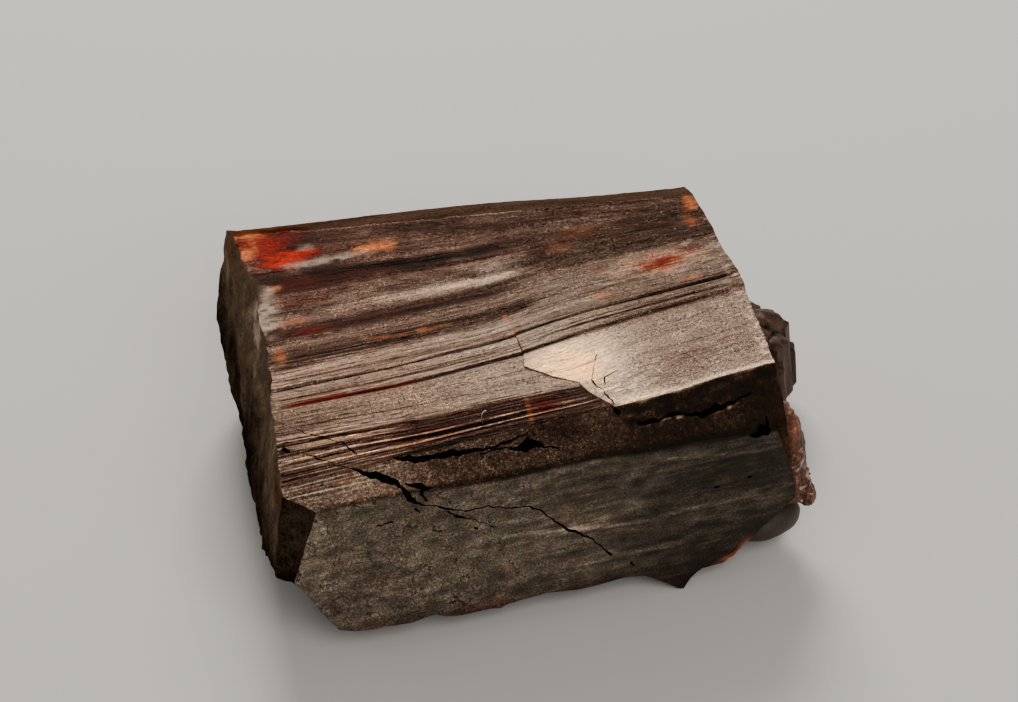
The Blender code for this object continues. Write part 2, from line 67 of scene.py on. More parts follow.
def read(points, x):
    """The y and z of a line at every x."""
    return np.interp(x, points[:, 0], points[:, 1]), np.interp(x, points[:, 0], points[:, 2])


def random_at(i, j, k, seed):
    """A fixed random value from -1 to 1 for every whole-numbered place."""
    n = (i * 374761393 + j * 668265263 + k * 1440662683 + seed * 982451653) & 0xFFFFFFFF
    n = ((n ^ (n >> 13)) * 1274126177) & 0xFFFFFFFF
    return ((n ^ (n >> 16)) & 0xFFFF) / 32767.5 - 1.0


def lumps(x, y, z=0.0, seed=0):
    """Smooth random relief from -1 to 1, with one lump per unit each way."""
    x, y, z = np.broadcast_arrays(np.asarray(x, float), y, z)
    whole = [np.floor(a).astype(np.int64) for a in (x, y, z)]
    part = [a - w for a, w in zip((x, y, z), whole)]
    blend = [p * p * (3.0 - 2.0 * p) for p in part]
    total = np.zeros(x.shape)
    for di in (0, 1):
        for dj in (0, 1):
            for dk in (0, 1):
                share = 1.0
                for b, d in zip(blend, (di, dj, dk)):
                    share = share * (b if d else 1.0 - b)
                total += share * random_at(whole[0] + di, whole[1] + dj, whole[2] + dk, seed)
    return total


def rise(value, low, high):
    """0 below low, 1 above high, and an easy slope between."""
    part = np.clip((value - low) / (high - low), 0.0, 1.0)
    return part * part * (3.0 - 2.0 * part)


def hump(value, middle, half, power=2.0):
    """1 at the middle, and close to nothing two half-widths away."""
    return np.exp(-np.abs((value - middle) / half) ** power)


def comb(x, v):
    """Uneven narrow ridges which fade in and out along their length."""
    pitch, seed = 0.19, 50
    phase = v / pitch + 0.35 * lumps(v / 0.6, x / 9.0, seed=seed)
    phase = phase + 0.1 * lumps(x / 1.6, v / 0.3, seed=seed)
    row = np.floor(phase)
    strength = 0.65 + 0.5 * lumps(x / 0.9, row * 3.7, seed=seed + 1)
    return strength * (1.0 - rise(np.abs(phase - row - 0.5) * 2.0, 0.1, 0.48))


TOP = 8.6  # height of the top face
FRONT = -8.4  # y of the front face
shoulder_edge = line((-10.6, -7.27, 7.67), (-9.95, -7.27, 7.71), (-5.3, -7.24, 7.96), (-0.81, -7.36, 8.25),
                     (1.9, -7.56, 8.5), (2.25, -7.7, TOP), (3.39, -7.62, TOP), (4.51, -7.53, TOP),
                     (5.92, -7.27, TOP), (7.18, -7.15, TOP), (7.94, -7.06, TOP), (8.6, -7.15, TOP))
rib_top = line((-10.6, -5.5, 8.35), (-9.65, -5.5, 8.4), (-7.4, -5.65, 8.45), (-4.31, -5.93, 8.5),
               (-0.81, -5.95, 8.55), (1.11, -6.05, TOP), (1.66, -5.9, TOP), (3.65, -5.12, TOP),
               (5.96, -4.85, TOP), (8.12, -4.53, TOP))
red_line = line((-10.6, -3.92, TOP), (-9.64, -3.92, TOP), (-5.65, -3.99, TOP), (-2.95, -3.89, TOP),
                (-0.42, -3.7, TOP), (1.25, -3.32, TOP), (3.84, -2.87, TOP), (6.57, -2.55, TOP),
                (8.5, -2.39, TOP))
dark_line = line((-10.6, -2.88, TOP), (-9.54, -2.88, TOP), (-5.43, -2.9, TOP), (-1.74, -2.78, TOP),
                 (-0.53, -2.59, TOP), (1.0, -2.23, TOP), (2.52, -1.96, TOP), (5.0, -1.77, TOP),
                 (7.57, -1.55, TOP), (8.6, -1.38, TOP))
middle_line = line((-10.6, 0.35, TOP), (-1.0, 0.45, TOP), (2.0, 0.9, TOP), (8.6, 1.15, TOP))
crest = line((-10.6, 7.05, TOP), (-9.4, 6.9, TOP), (8.0, 3.7, TOP), (8.6, 3.55, TOP))
back_edge = line((-10.6, 8.35, 7.95), (-9.4, 8.2, 8.0), (8.0, 5.15, 8.0), (8.6, 5.05, 8.0))
bevel_foot = line((-10.6, FRONT, 7.25), (-9.1, FRONT, 7.2), (-6.05, FRONT, 7.2), (-2.43, FRONT, 6.95),
                  (1.25, FRONT, 7.0), (3.08, FRONT, 6.8), (5.04, FRONT, 6.78), (6.92, FRONT, 6.62),
                  (8.6, FRONT, 6.5))
bevel_bend = line((-10.6, -7.72, 7.43), (-10.0, -7.72, 7.45), (-4.0, -7.75, 7.65), (1.6, -7.84, 7.86),
                  (2.2, -7.78, 7.86), (3.4, -7.82, 7.64), (6.4, -7.68, 7.68), (8.1, -7.38, 7.83))
lower_edge = line(*[(x, FRONT, z) for x, z in (
    (-10.5, 1.75), (-8.95, 1.57), (-8.49, 1.40), (-7.9, 1.22), (-7.47, 1.16), (-7.2, 1.24), (-6.4, 1.15),
    (-5.3, 1.29), (-4.9, 1.1), (-4.32, 1.02), (-3.31, 1.03), (-2.9, 0.95), (-2.63, 1.09), (-1.16, 1.22),
    (-0.04, 1.05), (0.82, 1.06), (1.7, 1.16), (2.56, 1.02), (2.95, 0.75), (3.3, 0.5), (3.75, 0.12),
    (3.95, 0.05), (4.15, 0.35), (4.55, 0.82), (5.43, 0.87), (5.89, 0.99), (6.34, 1.5), (6.9, 1.6),
    (8.6, 1.7))])
seam_x, seam_y = np.array([
    (2.12, -9.0), (2.12, -7.9), (2.04, -7.52), (1.69, -6.95), (1.43, -6.59), (1.25, -6.25), (1.18, -6.02),
    (0.7, -5.52), (0.27, -5.2), (-0.19, -4.76), (-0.52, -4.46), (-0.39, -3.8), (-0.37, -3.36), (-0.38, -2.9),
    (-0.42, -1.2), (-0.42, 9.0)]).T

# The lines round the base are ragged, where the crystal broke from its bed.
along = np.arange(-12.0, 10.01, 0.2)
on_base = np.zeros_like(along)
front_y = FRONT + 2.0 + 0.3 * lumps(along / 1.7, 4.0, seed=1) + 0.1 * lumps(along / 0.5, 2.0, seed=2)
chip_y = FRONT + 0.84 + 0.2 * lumps(along / 1.1, 3.0, seed=3) + 0.1 * lumps(along / 0.4, 1.0, seed=4)
_, lower_z = read(lower_edge, along)
back_y, _ = read(back_edge, along)
base_front = np.stack([along, front_y, on_base], 1)
chip_bend = np.stack([along, chip_y, lower_z * 0.62], 1)
back_foot = np.stack([along, back_y - 0.2, on_base + 0.9], 1)
base_back = np.stack([along, back_y - 1.1 + 0.3 * lumps(along / 1.9, 6.0, seed=5), on_base], 1)

BROKEN, FRONT_FACE, BEVEL, STRIATED, PIT, LUMP = range(6)
bands = [  # lower line, upper line, rows, v at the lower and the upper line, finish
    (base_front, chip_bend, 6, -17.0, -16.0, BROKEN),
    (chip_bend, lower_edge, 7, -16.0, -15.0, BROKEN),
    (lower_edge, bevel_foot, 52, -15.0, -8.9, FRONT_FACE),
    (bevel_foot, bevel_bend, 15, -8.9, -8.1, BEVEL),
    (bevel_bend, shoulder_edge, 20, -8.1, -7.3, BEVEL),
    (shoulder_edge, rib_top, 38, -7.3, -5.9, STRIATED),
    (rib_top, red_line, 38, -5.9, -3.9, STRIATED),
    (red_line, dark_line, 22, -3.9, -2.87, STRIATED),
    (dark_line, middle_line, 46, -2.87, 0.45, STRIATED),
    (middle_line, crest, 58, 0.45, 6.4, STRIATED),
    (crest, back_edge, 12, 6.4, 7.7, BROKEN),
    (back_edge, back_foot, 36, 7.7, 15.0, BROKEN),
    (back_foot, base_back, 6, 15.0, 16.0, BROKEN),
    (base_back, base_front, 12, 16.0, 30.0, BROKEN)]


def rough_end(y, z, seed):
    """Hackly relief of a broken end, from -1 to 1."""
    coarse = lumps((0.9 * y + 0.4 * z) / 1.9, (0.9 * z - 0.4 * y) / 1.5, seed=seed)
    facets = 1.0 - 2.0 * np.abs(lumps((0.8 * y + 0.6 * z) / 1.3, (0.8 * z - 0.6 * y) / 0.7, seed=seed + 1))
    fine = lumps((0.5 * y - 0.87 * z) / 0.38, (0.87 * y + 0.5 * z) / 0.3, seed=seed + 2)
    return 0.55 * coarse + 0.22 * facets + 0.16 * fine


def corner_facet(y, z):
    """The small facet at the front of the left end: x of its surface at every y and z."""
    return -9.1 - 1.43 * (y - FRONT) + 0.38 * (z - 7.2)


def left_end(y, z):
    """The broken left end, with the block missing low down: x of its surface at every y and z."""
    rim = np.interp(y, (-8.4, -7.3, -5.5, -4.24, -2.82, -1.06, 1.36, 3.56, 4.65, 7.6),
                    (-10.0, -9.95, -9.75, -9.75, -9.55, -9.35, -9.25, -9.22, -9.25, -9.35))
    ridge = np.interp(y, (-8.4, -5.4, 1.6, 8.0), (-10.95, -10.9, -10.6, -10.4))
    ridge_z = 3.9
    x = np.where(z > ridge_z, rim + (ridge - rim) * (TOP - z) / 4.7, ridge + (ridge_z - z) * 0.3)
    x = np.maximum(x, corner_facet(y, z))
    part = np.clip((y + 9.4) / 11.0, 0.0, 1.0)
    bite_top = 4.2 - 0.4 * part
    bite = -10.05 - 2.0 * part + (bite_top - z) * 0.52
    x = np.where(z < bite_top, np.maximum(x, bite), x)
    x = x + 0.35 * hump(y, 3.3, 0.8) * rise(z, 7.2, 8.5)
    calm = 0.4 + 0.6 * rise(y, -8.4, -7.6)
    return x + 0.24 * calm * rough_end(y, z, 11) - 0.02


def right_end(y, z):
    """The right end: x of its surface at every y and z."""
    rim = np.interp(y, (-8.4, -7.31, -5.0, -3.46, -1.37, 0.0, 2.48, 4.46, 6.0),
                    (8.17, 8.17, 8.21, 8.27, 8.33, 8.14, 8.03, 7.95, 7.85))
    x = rim + 0.03 * (TOP - z)
    x = np.minimum(x, 7.74 + 0.86 * (y - FRONT) - 0.25 * (z - 6.55))
    x = np.minimum(x, 6.35 + 0.9 * (y - FRONT) + 1.17 * (z - 1.6))
    corner = np.exp(-((y + 7.9) / 0.7) ** 2 - ((z - 7.2) / 0.9) ** 2)
    return x + 0.1 * rough_end(y, z, 23) + 0.12 * corner * rough_end(y * 2.2, z * 2.2, 27)


# ---- relief of each band, pushed out along its own normal --------------------------------------
# Striations are uneven steps.  Grooves are the lines that can be followed by eye, and ribs are
# the bright treads of the shoulder.
GROOVES = [  # v, half-width, depth, from x, to x
    (-2.87, 0.05, 0.07, -9.7, 8.4), (-3.45, 0.04, 0.05, -9.7, 8.0), (-3.9, 0.07, 0.06, -9.7, 7.4),
    (-2.45, 0.035, 0.035, -9.5, 0.4), (-2.17, 0.025, 0.02, -9.3, -1.0), (-1.72, 0.03, 0.03, -9.3, -0.4),
    (-1.58, 0.025, 0.03, -9.3, 0.0), (-1.43, 0.03, 0.035, -9.3, 0.5), (-1.25, 0.04, 0.04, -9.2, 1.0),
    (-4.7, 0.02, 0.015, -9.4, -6.0), (-5.0, 0.025, 0.025, -9.5, -5.4), (-5.2, 0.02, 0.025, -9.5, -4.8),
    (-5.75, 0.02, 0.02, -9.7, -3.0), (-5.55, 0.02, 0.012, 2.6, 8.3), (-5.9, 0.025, 0.015, 1.9, 8.3),
    (-4.75, 0.02, 0.015, 0.0, 4.5), (-5.1, 0.02, 0.015, 0.2, 6.0), (-6.3, 0.02, 0.02, 3.2, 8.2),
    (0.15, 0.12, 0.06, -9.0, 1.0), (2.75, 0.15, 0.05, -8.8, 2.0), (3.4, 0.16, 0.08, -8.7, -1.5),
    (4.75, 0.2, 0.05, -6.0, 3.0)]
RIBS = [  # v, half-width, height
    (-6.02, 0.03, 0.015), (-6.17, 0.03, 0.02), (-6.31, 0.025, 0.02), (-6.45, 0.025, 0.02),
    (-6.6, 0.04, 0.05), (-6.74, 0.025, 0.02), (-6.88, 0.04, 0.05), (-7.02, 0.025, 0.02),
    (-7.13, 0.025, 0.025), (-7.24, 0.03, 0.02)]


def striations(x, v):
    """Height of the striated face above its lines."""
    depth = 0.045 * lumps(v / 1.3, x / 14.0, seed=31) + 0.028 * lumps(v / 0.42, x / 9.0, seed=32)
    depth = depth + 0.014 * lumps(v / 0.16, x / 5.0, seed=33) + 0.007 * lumps(v / 0.07, x / 2.5, seed=34)
    for place, half, deep, start, stop in GROOVES:
        wander = 0.03 * lumps(x / 2.2, place * 9.0, seed=35)
        reach = rise(x, start, start + 0.5) * (1.0 - rise(x, stop - 0.8, stop))
        depth = depth - deep * reach * hump(v, place - wander, half)
    return depth


def ribs(x, v, left):
    """The shoulder's stair of narrow treads; it ends at the seam."""
    height = np.zeros_like(v)
    for place, half, tall in RIBS:
        wander = 0.012 * lumps(x / 1.6, place * 11.0, seed=36)
        height = height + tall * hump(v, place - wander, half, 1.6)
    return height * left


def relief(x, y, z, v, finish, left):
    """How far the surface stands off the loft, for every point of the grid."""
    grainy = 0.55 * lumps(x / 0.13, y / 0.13, z / 0.13, seed=41)
    grainy = grainy + 0.45 * lumps(x / 0.3, y / 0.3, z / 0.3, seed=42)
    rough = lumps(x / 0.8, y / 0.8, z / 0.8, seed=43)

    top = striations(x, v) + ribs(x, v, left) * rise(v, -7.3, -7.25) * (1.0 - rise(v, -5.95, -5.88))
    sector = (1.0 - left) * rise(v, -7.4, -7.2) * (1.0 - rise(v, -3.2, -2.2))
    top = top + sector * (0.05 * np.exp(-np.clip(x - 0.2, 0.0, 20.0) / 1.8) + 0.008 * grainy)
    top = top + 0.004 * grainy * rise(-v, 4.0, 5.5)
    top = top + 0.03 * comb(x, v) * (1.0 - rise(x, -7.4, -5.0)) * (1.0 - rise(v, -6.0, -5.2))

    bevel = 0.022 * grainy + 0.03 * rough + 0.05 * rough * rise(v, -8.2, -8.0) * rise(x, 2.0, 2.8)
    bevel = bevel + 0.035 * comb(x, v) * (1.0 - rise(x, -7.4, -5.4)) * rise(v, -8.4, -8.1)
    worn = hump(v, -7.3, 0.05) * rise(x, 2.1, 2.5) + 0.6 * hump(v, -8.9, 0.07)
    chips = 0.025 * lumps(x / 0.25, 7.0, seed=40) + 0.02 * lumps(x / 0.08, 7.0, seed=39)
    bevel = bevel - worn * (0.02 + chips)

    wave = z + 0.35 * lumps(x / 3.0, z / 2.0, seed=44)
    satin = 0.02 * lumps(x / 2.5, wave / 0.6, seed=45) + 0.006 * lumps(x / 0.9, wave / 0.12, seed=46)
    ripple = lumps(x / 1.1, z / 0.9, seed=47) + 0.5 * (1.0 - 2.0 * np.abs(lumps(x / 0.5, z / 0.4, seed=76)))
    satin = satin + 0.03 * ripple * rise(-x, 2.0, 6.0)

    broken = 0.07 * rough + 0.05 * grainy
    ledges = 0.12 * lumps(z / 1.3, x / 9.0, seed=48) + 0.06 * lumps(z / 0.4, x / 4.0, seed=49) + 0.02 * grainy
    height = np.select([finish == STRIATED, finish == BEVEL, finish == FRONT_FACE],
                       [top, bevel, satin], broken)
    height = np.where((finish == BROKEN) & (v > 7.0) & (v < 15.5), ledges, height)
    height = height * np.where(finish == BROKEN, 1.0 - rise(v, -15.7, -15.1) * (v < -14.9), 1.0)
    return np.where(z < 0.02, 0.0, height)


# ---- the grid of the loft -----------------------------------------------------------------------
# Columns run from the left end to the seam, cross it in three close columns, and go on to the
# right end, so the seam is a real narrow crack.
thin = 1
left_steps = 92 // thin
right_steps = 76 // thin
seam_half = 0.014
rows = []
for lower, upper, count, v_low, v_high, kind in bands:
    count = max(2, count // thin)
    for step in range(count):
        rows.append((lower, upper, step / count, v_low + (v_high - v_low) * step / count, kind))
row_v = np.array([row[3] for row in rows])
row_finish = np.array([row[4] for row in rows])
columns = left_steps + right_steps + 3
x = np.linspace(-9.9, 8.1, columns)[None, :].repeat(len(rows), 0)
left_share = np.linspace(0.0, 1.0, left_steps + 1)
right_share = np.linspace(0.0, 1.0, right_steps + 1)
for settling in range(7):  # the rows' y and z follow from x, and where the ends lie follows from both
    y, z = np.zeros_like(x), np.zeros_like(x)
    for i, (lower, upper, part, _, _) in enumerate(rows):
        y0, z0 = read(lower, x[i])
        y1, z1 = read(upper, x[i])
        y[i], z[i] = y0 + (y1 - y0) * part, z0 + (z1 - z0) * part
    start, stop = left_end(y[:, 0], z[:, 0]), right_end(y[:, -1], z[:, -1])
    middle = np.interp(y[:, left_steps + 1], seam_y, seam_x)
    x[:, :left_steps + 1] = start[:, None] + (middle - seam_half - start)[:, None] * left_share
    x[:, left_steps + 1] = middle
    x[:, left_steps + 2:] = (middle + seam_half)[:, None] + (stop - middle - seam_half)[:, None] * right_share
left = np.zeros_like(x)
left[:, :left_steps + 1] = 1.0
v = row_v[:, None] + np.zeros_like(x)
finish = row_finish[:, None] + np.zeros_like(x, int)
broken = finish == BROKEN
grid = np.stack([x, y, z], -1)
step_u = np.gradient(grid, axis=1)
step_v = np.roll(grid, -1, 0) - np.roll(grid, 1, 0)
outward = np.cross(step_u, step_v)
outward /= np.linalg.norm(outward, axis=-1, keepdims=True) + 1e-12
height = relief(x, y, z, v, finish, left)
crack_y = y[:, left_steps + 1]
crack = rise(crack_y, -7.62, -7.5) * (1.0 - rise(crack_y, -3.1, -2.8)) * (z[:, left_steps + 1] > 8.0)
height[:, left_steps + 1] -= (0.03 + 0.1 * rise(crack_y, -6.7, -6.2)) * crack
from_end = np.minimum(np.arange(columns), np.arange(columns)[::-1])
height = height * np.where(broken, np.clip(from_end / 4.0, 0.0, 1.0), from_end > 0)
grid = grid + outward * height[..., None]
grid[..., 1] = np.maximum(grid[..., 1], FRONT - 0.06)
grid[..., 2] = np.clip(grid[..., 2], 0.0, 8.75)


# ======== THE CRYSTAL: MARKS ON ITS SURFACE ===================================================
# Four amounts ride on the surface: how light it is drawn, which holds painted sheen, highlights and shade
# as well as the stone's own tone, and how much red, ochre and pale iron stain lies on it.  They are sums
# of bands along the striations and ragged spots.
def band(x, v, place, half, start=-20.0, stop=20.0, soft=0.6):
    """A band along the striations."""
    wander = 0.05 * lumps(x / 2.5, place * 7.0, seed=51)
    reach = rise(x, start, start + soft) * (1.0 - rise(x, stop - soft, stop))
    return reach * hump(v, place - wander, half, 2.5)


def spot(x, y, middle_x, middle_y, half_x, half_y, ragged=0.5, seed=52):
    """A ragged spot; its edge is broken up along the striations."""
    sway = 0.25 * lumps(x / 0.6, y / 0.5, seed=seed + 2)
    reach = np.exp(-((x - middle_x) / half_x + sway) ** 2 - ((y - middle_y) / half_y + sway) ** 2)
    breakup = lumps(x / 0.45, y / 0.15, seed=seed) + 0.6 * lumps(x / 0.16, y / 0.07, seed=seed + 1)
    return rise(reach + ragged * 0.5 * breakup * rise(reach, 0.05, 0.4), 0.12, 1.02)


def total(shape, x, y, rows):
    """A band or a spot for each row, summed; a row starts with its amount."""
    return sum(amount * shape(x, y, *row) for amount, *row in rows)


def tone(v, start, steps, streaks):
    """How light a striated face is: steps from zone to zone, with soft streaks laid over them."""
    light = start + np.zeros_like(v)
    for change, low, high in steps:
        light = light + change * rise(v, low, high)
    for change, middle, half in streaks:
        light = light + change * hump(v, middle, half)
    return light


# Left of the seam a dark shoulder is followed by a pale zone, a dull middle, a dark trough, a paler
# rear and a dark rear edge.  Right of it the face is pale in front, duller behind, and even.  These zones,
# and the light bands and spots below, are partly the stone's own tone and partly painted sheen, with
# painted shade where it fades towards the back.
LEFT_STEPS = [  # change of lightness, from v, to v
    (0.38, -6.15, -5.85), (-0.23, -1.75, -1.25), (0.1, 0.7, 1.0), (-0.24, 2.5, 3.1), (0.25, 3.6, 4.0),
    (-0.09, 4.4, 5.8), (-0.22, 6.2, 7.7)]
LEFT_STREAKS = [  # change of lightness, v, half-width
    (0.11, -0.45, 0.2), (-0.08, 0.35, 0.35), (0.18, 1.2, 0.3), (-0.1, 3.4, 0.15)]
RIGHT_STEPS = [
    (-0.1, -4.4, -3.8), (-0.05, -3.0, -1.0), (-0.17, -0.1, 1.2), (0.11, 1.9, 3.2), (-0.26, 6.0, 7.7)]
RIGHT_STREAKS = [(-0.06, -6.4, 0.4), (-0.08, -3.85, 0.12), (-0.05, -2.6, 0.2)]
# Most dark bands follow the grooves and are partly painted shade in them.
DARK_BANDS = [  # v, half-width, strength, from x, to x
    (-2.87, 0.05, 0.42, -9.8, 8.4), (-3.45, 0.04, 0.25, -9.8, 8.2), (-3.9, 0.075, 0.42, -9.8, 2.0),
    (-3.9, 0.16, 0.16, 1.0, 8.0), (-2.45, 0.035, 0.22, -9.6, 0.4), (-2.17, 0.025, 0.1, -9.4, -1.0),
    (-1.72, 0.03, 0.2, -9.4, -0.4), (-1.58, 0.03, 0.2, -9.4, 0.0), (-1.43, 0.035, 0.25, -9.4, 0.6),
    (-1.05, 0.2, 0.14, -9.0, 1.0), (-5.0, 0.03, 0.16, -9.5, -5.3), (-5.2, 0.025, 0.18, -9.5, -4.8),
    (-4.72, 0.02, 0.1, -9.5, -6.0), (-5.48, 0.02, 0.12, -9.5, -5.0), (-5.78, 0.025, 0.14, -9.7, -4.0),
    (-5.95, 0.03, 0.16, -9.8, -4.6), (-5.9, 0.02, 0.12, 1.9, 8.3), (-5.5, 0.02, 0.06, 2.6, 8.3),
    (-4.8, 0.02, 0.05, 0.0, 5.0), (-5.1, 0.02, 0.05, 0.2, 6.0), (0.15, 0.2, 0.1, -9.0, 0.5)]
# Rib lights are painted highlights on the shoulder's treads.
RIB_LIGHTS = [  # v, half-width, strength, to x
    (-6.02, 0.03, 0.1, -6.0), (-6.17, 0.03, 0.12, -5.0), (-6.31, 0.025, 0.16, -4.6),
    (-6.45, 0.02, 0.12, -5.4), (-6.58, 0.024, 0.95, 1.9), (-6.74, 0.02, 0.2, -4.0),
    (-6.87, 0.024, 0.85, 2.0), (-7.0, 0.02, 0.3, -3.0), (-7.12, 0.022, 0.34, -4.6),
    (-7.24, 0.025, 0.26, -5.8)]
LIGHT_BANDS = [  # amount, v, half-width, from x, to x, fade
    (0.2, 1.3, 0.35, -3.2, 1.4, 1.5), (0.1, 2.5, 0.6, -2.6, 1.8, 1.2), (-0.04, -6.6, 0.5, 2.4, 6.8, 1.6)]
LIGHT_SPOTS = [  # amount, x, y, half-width each way, raggedness
    (0.12, 2.6, -7.35, 1.6, 0.35, 0.2), (0.22, 5.8, 0.1, 2.2, 0.9, 0.5), (-0.16, -8.2, 6.1, 1.6, 1.4, 0.3)]
RED_BANDS = [
    (0.28, 3.35, 0.4, -8.8, -3.0, 1.0), (0.3, 2.0, 0.25, -8.8, -6.2, 0.8), (0.28, 0.3, 0.3, -8.6, 0.0, 1.0),
    (0.62, -3.88, 0.17, -9.6, -6.6, 0.8), (0.5, -3.9, 0.14, -7.6, -3.6, 1.2),
    (0.32, 0.3, 0.35, -8.9, -6.6, 0.8), (0.18, 2.9, 0.3, -8.6, -6.0, 0.8), (0.12, -2.6, 0.5, -1.6, -0.4, 0.5)]
RED_SPOTS = [
    (0.78, -8.4, 6.1, 1.7, 1.5, 0.3), (1.1, -7.5, 4.75, 1.4, 0.6, 0.4), (0.15, 5.2, -0.15, 1.9, 0.8, 0.8),
    (0.15, 6.2, 0.3, 2.0, 0.9, 0.8), (0.3, 5.6, 0.0, 0.9, 0.4, 1.0, 152), (0.45, 7.1, 0.5, 0.5, 0.25),
    (0.3, 3.4, 0.35, 0.5, 0.3)]
OCHRE_SPOTS = [
    (0.7, -9.0, 5.6, 0.5, 0.5), (0.6, -8.8, 6.8, 0.7, 0.6), (0.75, -4.35, 4.55, 0.8, 0.35),
    (0.45, -3.7, 4.3, 0.3, 0.3), (0.32, -5.45, -1.05, 0.5, 0.1, 1.0), (0.3, -4.4, -1.1, 0.5, 0.08, 1.0),
    (0.34, -3.35, -1.1, 0.6, 0.12, 1.0), (0.5, -8.3, 3.2, 0.3, 0.25), (0.45, -0.52, -1.45, 0.1, 0.4),
    (0.25, -0.4, -2.4, 0.06, 0.9), (0.5, 3.25, -1.25, 0.5, 0.18), (0.5, 6.5, -1.25, 0.5, 0.14),
    (0.95, 7.7, 3.3, 0.25, 0.5), (0.35, 7.5, 2.3, 0.3, 0.6), (0.3, -8.85, -0.9, 0.25, 0.6),
    (0.22, -8.0, 0.9, 0.7, 0.25), (0.12, 2.3, 2.2, 0.6, 0.4), (0.1, 3.2, 2.9, 0.8, 0.4)]
PALE_SPOTS = [
    (0.5, -9.2, 1.7, 0.7, 1.2, 1.0), (0.35, -8.75, 2.9, 0.4, 0.6), (0.4, -6.7, 4.35, 1.1, 0.3),
    (0.35, -5.2, 4.3, 0.9, 0.35), (0.5, -2.95, -1.42, 0.12, 0.1), (0.15, -0.3, 1.8, 0.5, 0.3),
    (0.3, 7.75, -1.9, 0.2, 0.25), (0.5, 5.2, -0.75, 0.15, 0.1), (0.45, 6.9, 0.85, 0.2, 0.12),
    (0.5, 6.4, -0.7, 0.2, 0.12), (0.45, 5.8, -0.55, 0.15, 0.08), (0.25, -6.7, 5.3, 0.4, 0.25)]


def striated_marks(x, y, v, left):
    """Light, red, ochre and pale amounts on the striated face and the shoulder."""
    right = 1.0 - left
    shoulder = left * (1.0 - rise(v, -6.1, -5.95))
    side = left * (1.0 - rise(v, -3.0, -1.0)) + (1.0 - rise(x, -0.8, 1.6)) * rise(v, -3.0, -1.0)
    light = tone(v, 0.15, LEFT_STEPS, LEFT_STREAKS) * side
    light = light + tone(v, 0.59, RIGHT_STEPS, RIGHT_STREAKS) * (1.0 - side)
    fine = 0.4 * lumps(v / 0.06, x / 3.0, seed=53) + 0.6 * lumps(v / 0.14, x / 5.0, seed=54)
    blotch = 0.11 * lumps(x / 1.5, v / 0.45, seed=56) + 0.07 * lumps(x / 0.5, v / 0.22, seed=59)
    light = light + fine * (0.05 + 0.04 * rise(v, -2.9, -1.0)) + blotch * rise(v, 0.2, 1.6)
    light = light + 0.07 * lumps(v / 0.5, x / 4.0, seed=55) * rise(v, -1.5, 0.5)
    # The face darkens towards the back, partly as painted falloff of the sheen.
    light = light - 0.07 * rise(v, -0.6, 1.2) - 0.03 * rise(v, 2.6, 4.0)
    for place, half, strength, start, stop in DARK_BANDS:
        light = light - strength * band(x, v, place, half, start, stop)
    for place, half, strength, stop in RIB_LIGHTS:
        uneven = 0.35 * lumps(x / 0.8, place * 5.0, seed=57) + 0.3 * lumps(x / 0.15, place * 5.0, seed=58)
        light = light + shoulder * strength * (0.75 + uneven) * band(x, v, place, half, -12.0, stop, 1.2)

    # The left end of the shoulder is drawn lighter, and the narrow ridges over it carry painted highlights.
    worn = (1.0 - rise(x, -7.4, -4.6)) * left * rise(v, -7.3, -6.9) * (1.0 - rise(v, -6.1, -5.9))
    ridged = (1.0 - rise(x, -7.0, -4.8)) * left * (1.0 - rise(v, -6.3, -5.6))
    light = light + worn * (0.14 + 0.1 * fine) + 0.22 * comb(x, v) * ridged
    light = light - 0.12 * (1.0 - rise(x, -9.5, -5.6)) * rise(v, -6.2, -5.9) * (1.0 - rise(v, -5.2, -4.2))

    # To the right of the seam lies a bright patch, partly a painted highlight, with flecks of painted glint,
    # and a painted highlight runs along the sharp edge there.
    glow = hump(x, 1.1, 1.6) * hump(y, -4.95, 1.5) * (1.0 + 0.35 * lumps(x / 0.35, v / 0.1, seed=150))
    flecks = rise(lumps(x / 0.3, v / 0.06, seed=160), 0.25, 0.6) * spot(x, v, 2.6, -6.5, 1.3, 0.7, 0.2)
    light = light + right * (0.46 * glow + 0.3 * flecks + 0.25 * hump(v, -7.25, 0.06) * rise(x, 2.2, 2.8))
    light = light - right * 0.09 * rise(x, 2.4, 5.0) * (1.0 - rise(v, -3.0, -1.0))
    # Painted glints speckle the crumbled corner near the right end.
    chip_glints = rise(x, 7.65, 8.0) * np.clip(lumps(y / 0.14, x / 0.14, seed=161), 0.0, 1.0)
    light = light + 0.3 * chip_glints * rise(v, -7.3, -6.9)
    light = light + total(band, x, v, LIGHT_BANDS) + total(spot, x, y, LIGHT_SPOTS)

    red = total(band, x, v, RED_BANDS) + total(spot, x, y, RED_SPOTS)
    red = red + 0.14 * (1.0 - rise(x, -6.0, -0.5)) + 0.16 * rise(v, 1.8, 3.0)
    red = red + 0.28 * hump(x, 5.8, 1.2) * hump(y, 0.1, 0.5)
    red = red + shoulder * (0.45 * spot(x, v, -0.3, -6.55, 0.7, 0.45, 0.3) + 0.18 * rise(x, -9.0, -4.0))
    drip = hump(x, 0.04 * (v + 6.6) - 0.84, 0.04) * rise(v, -7.3, -7.1)
    ochre = total(spot, x, y, OCHRE_SPOTS) + 0.45 * shoulder * drip
    return light, red, ochre, total(spot, x, y, PALE_SPOTS)


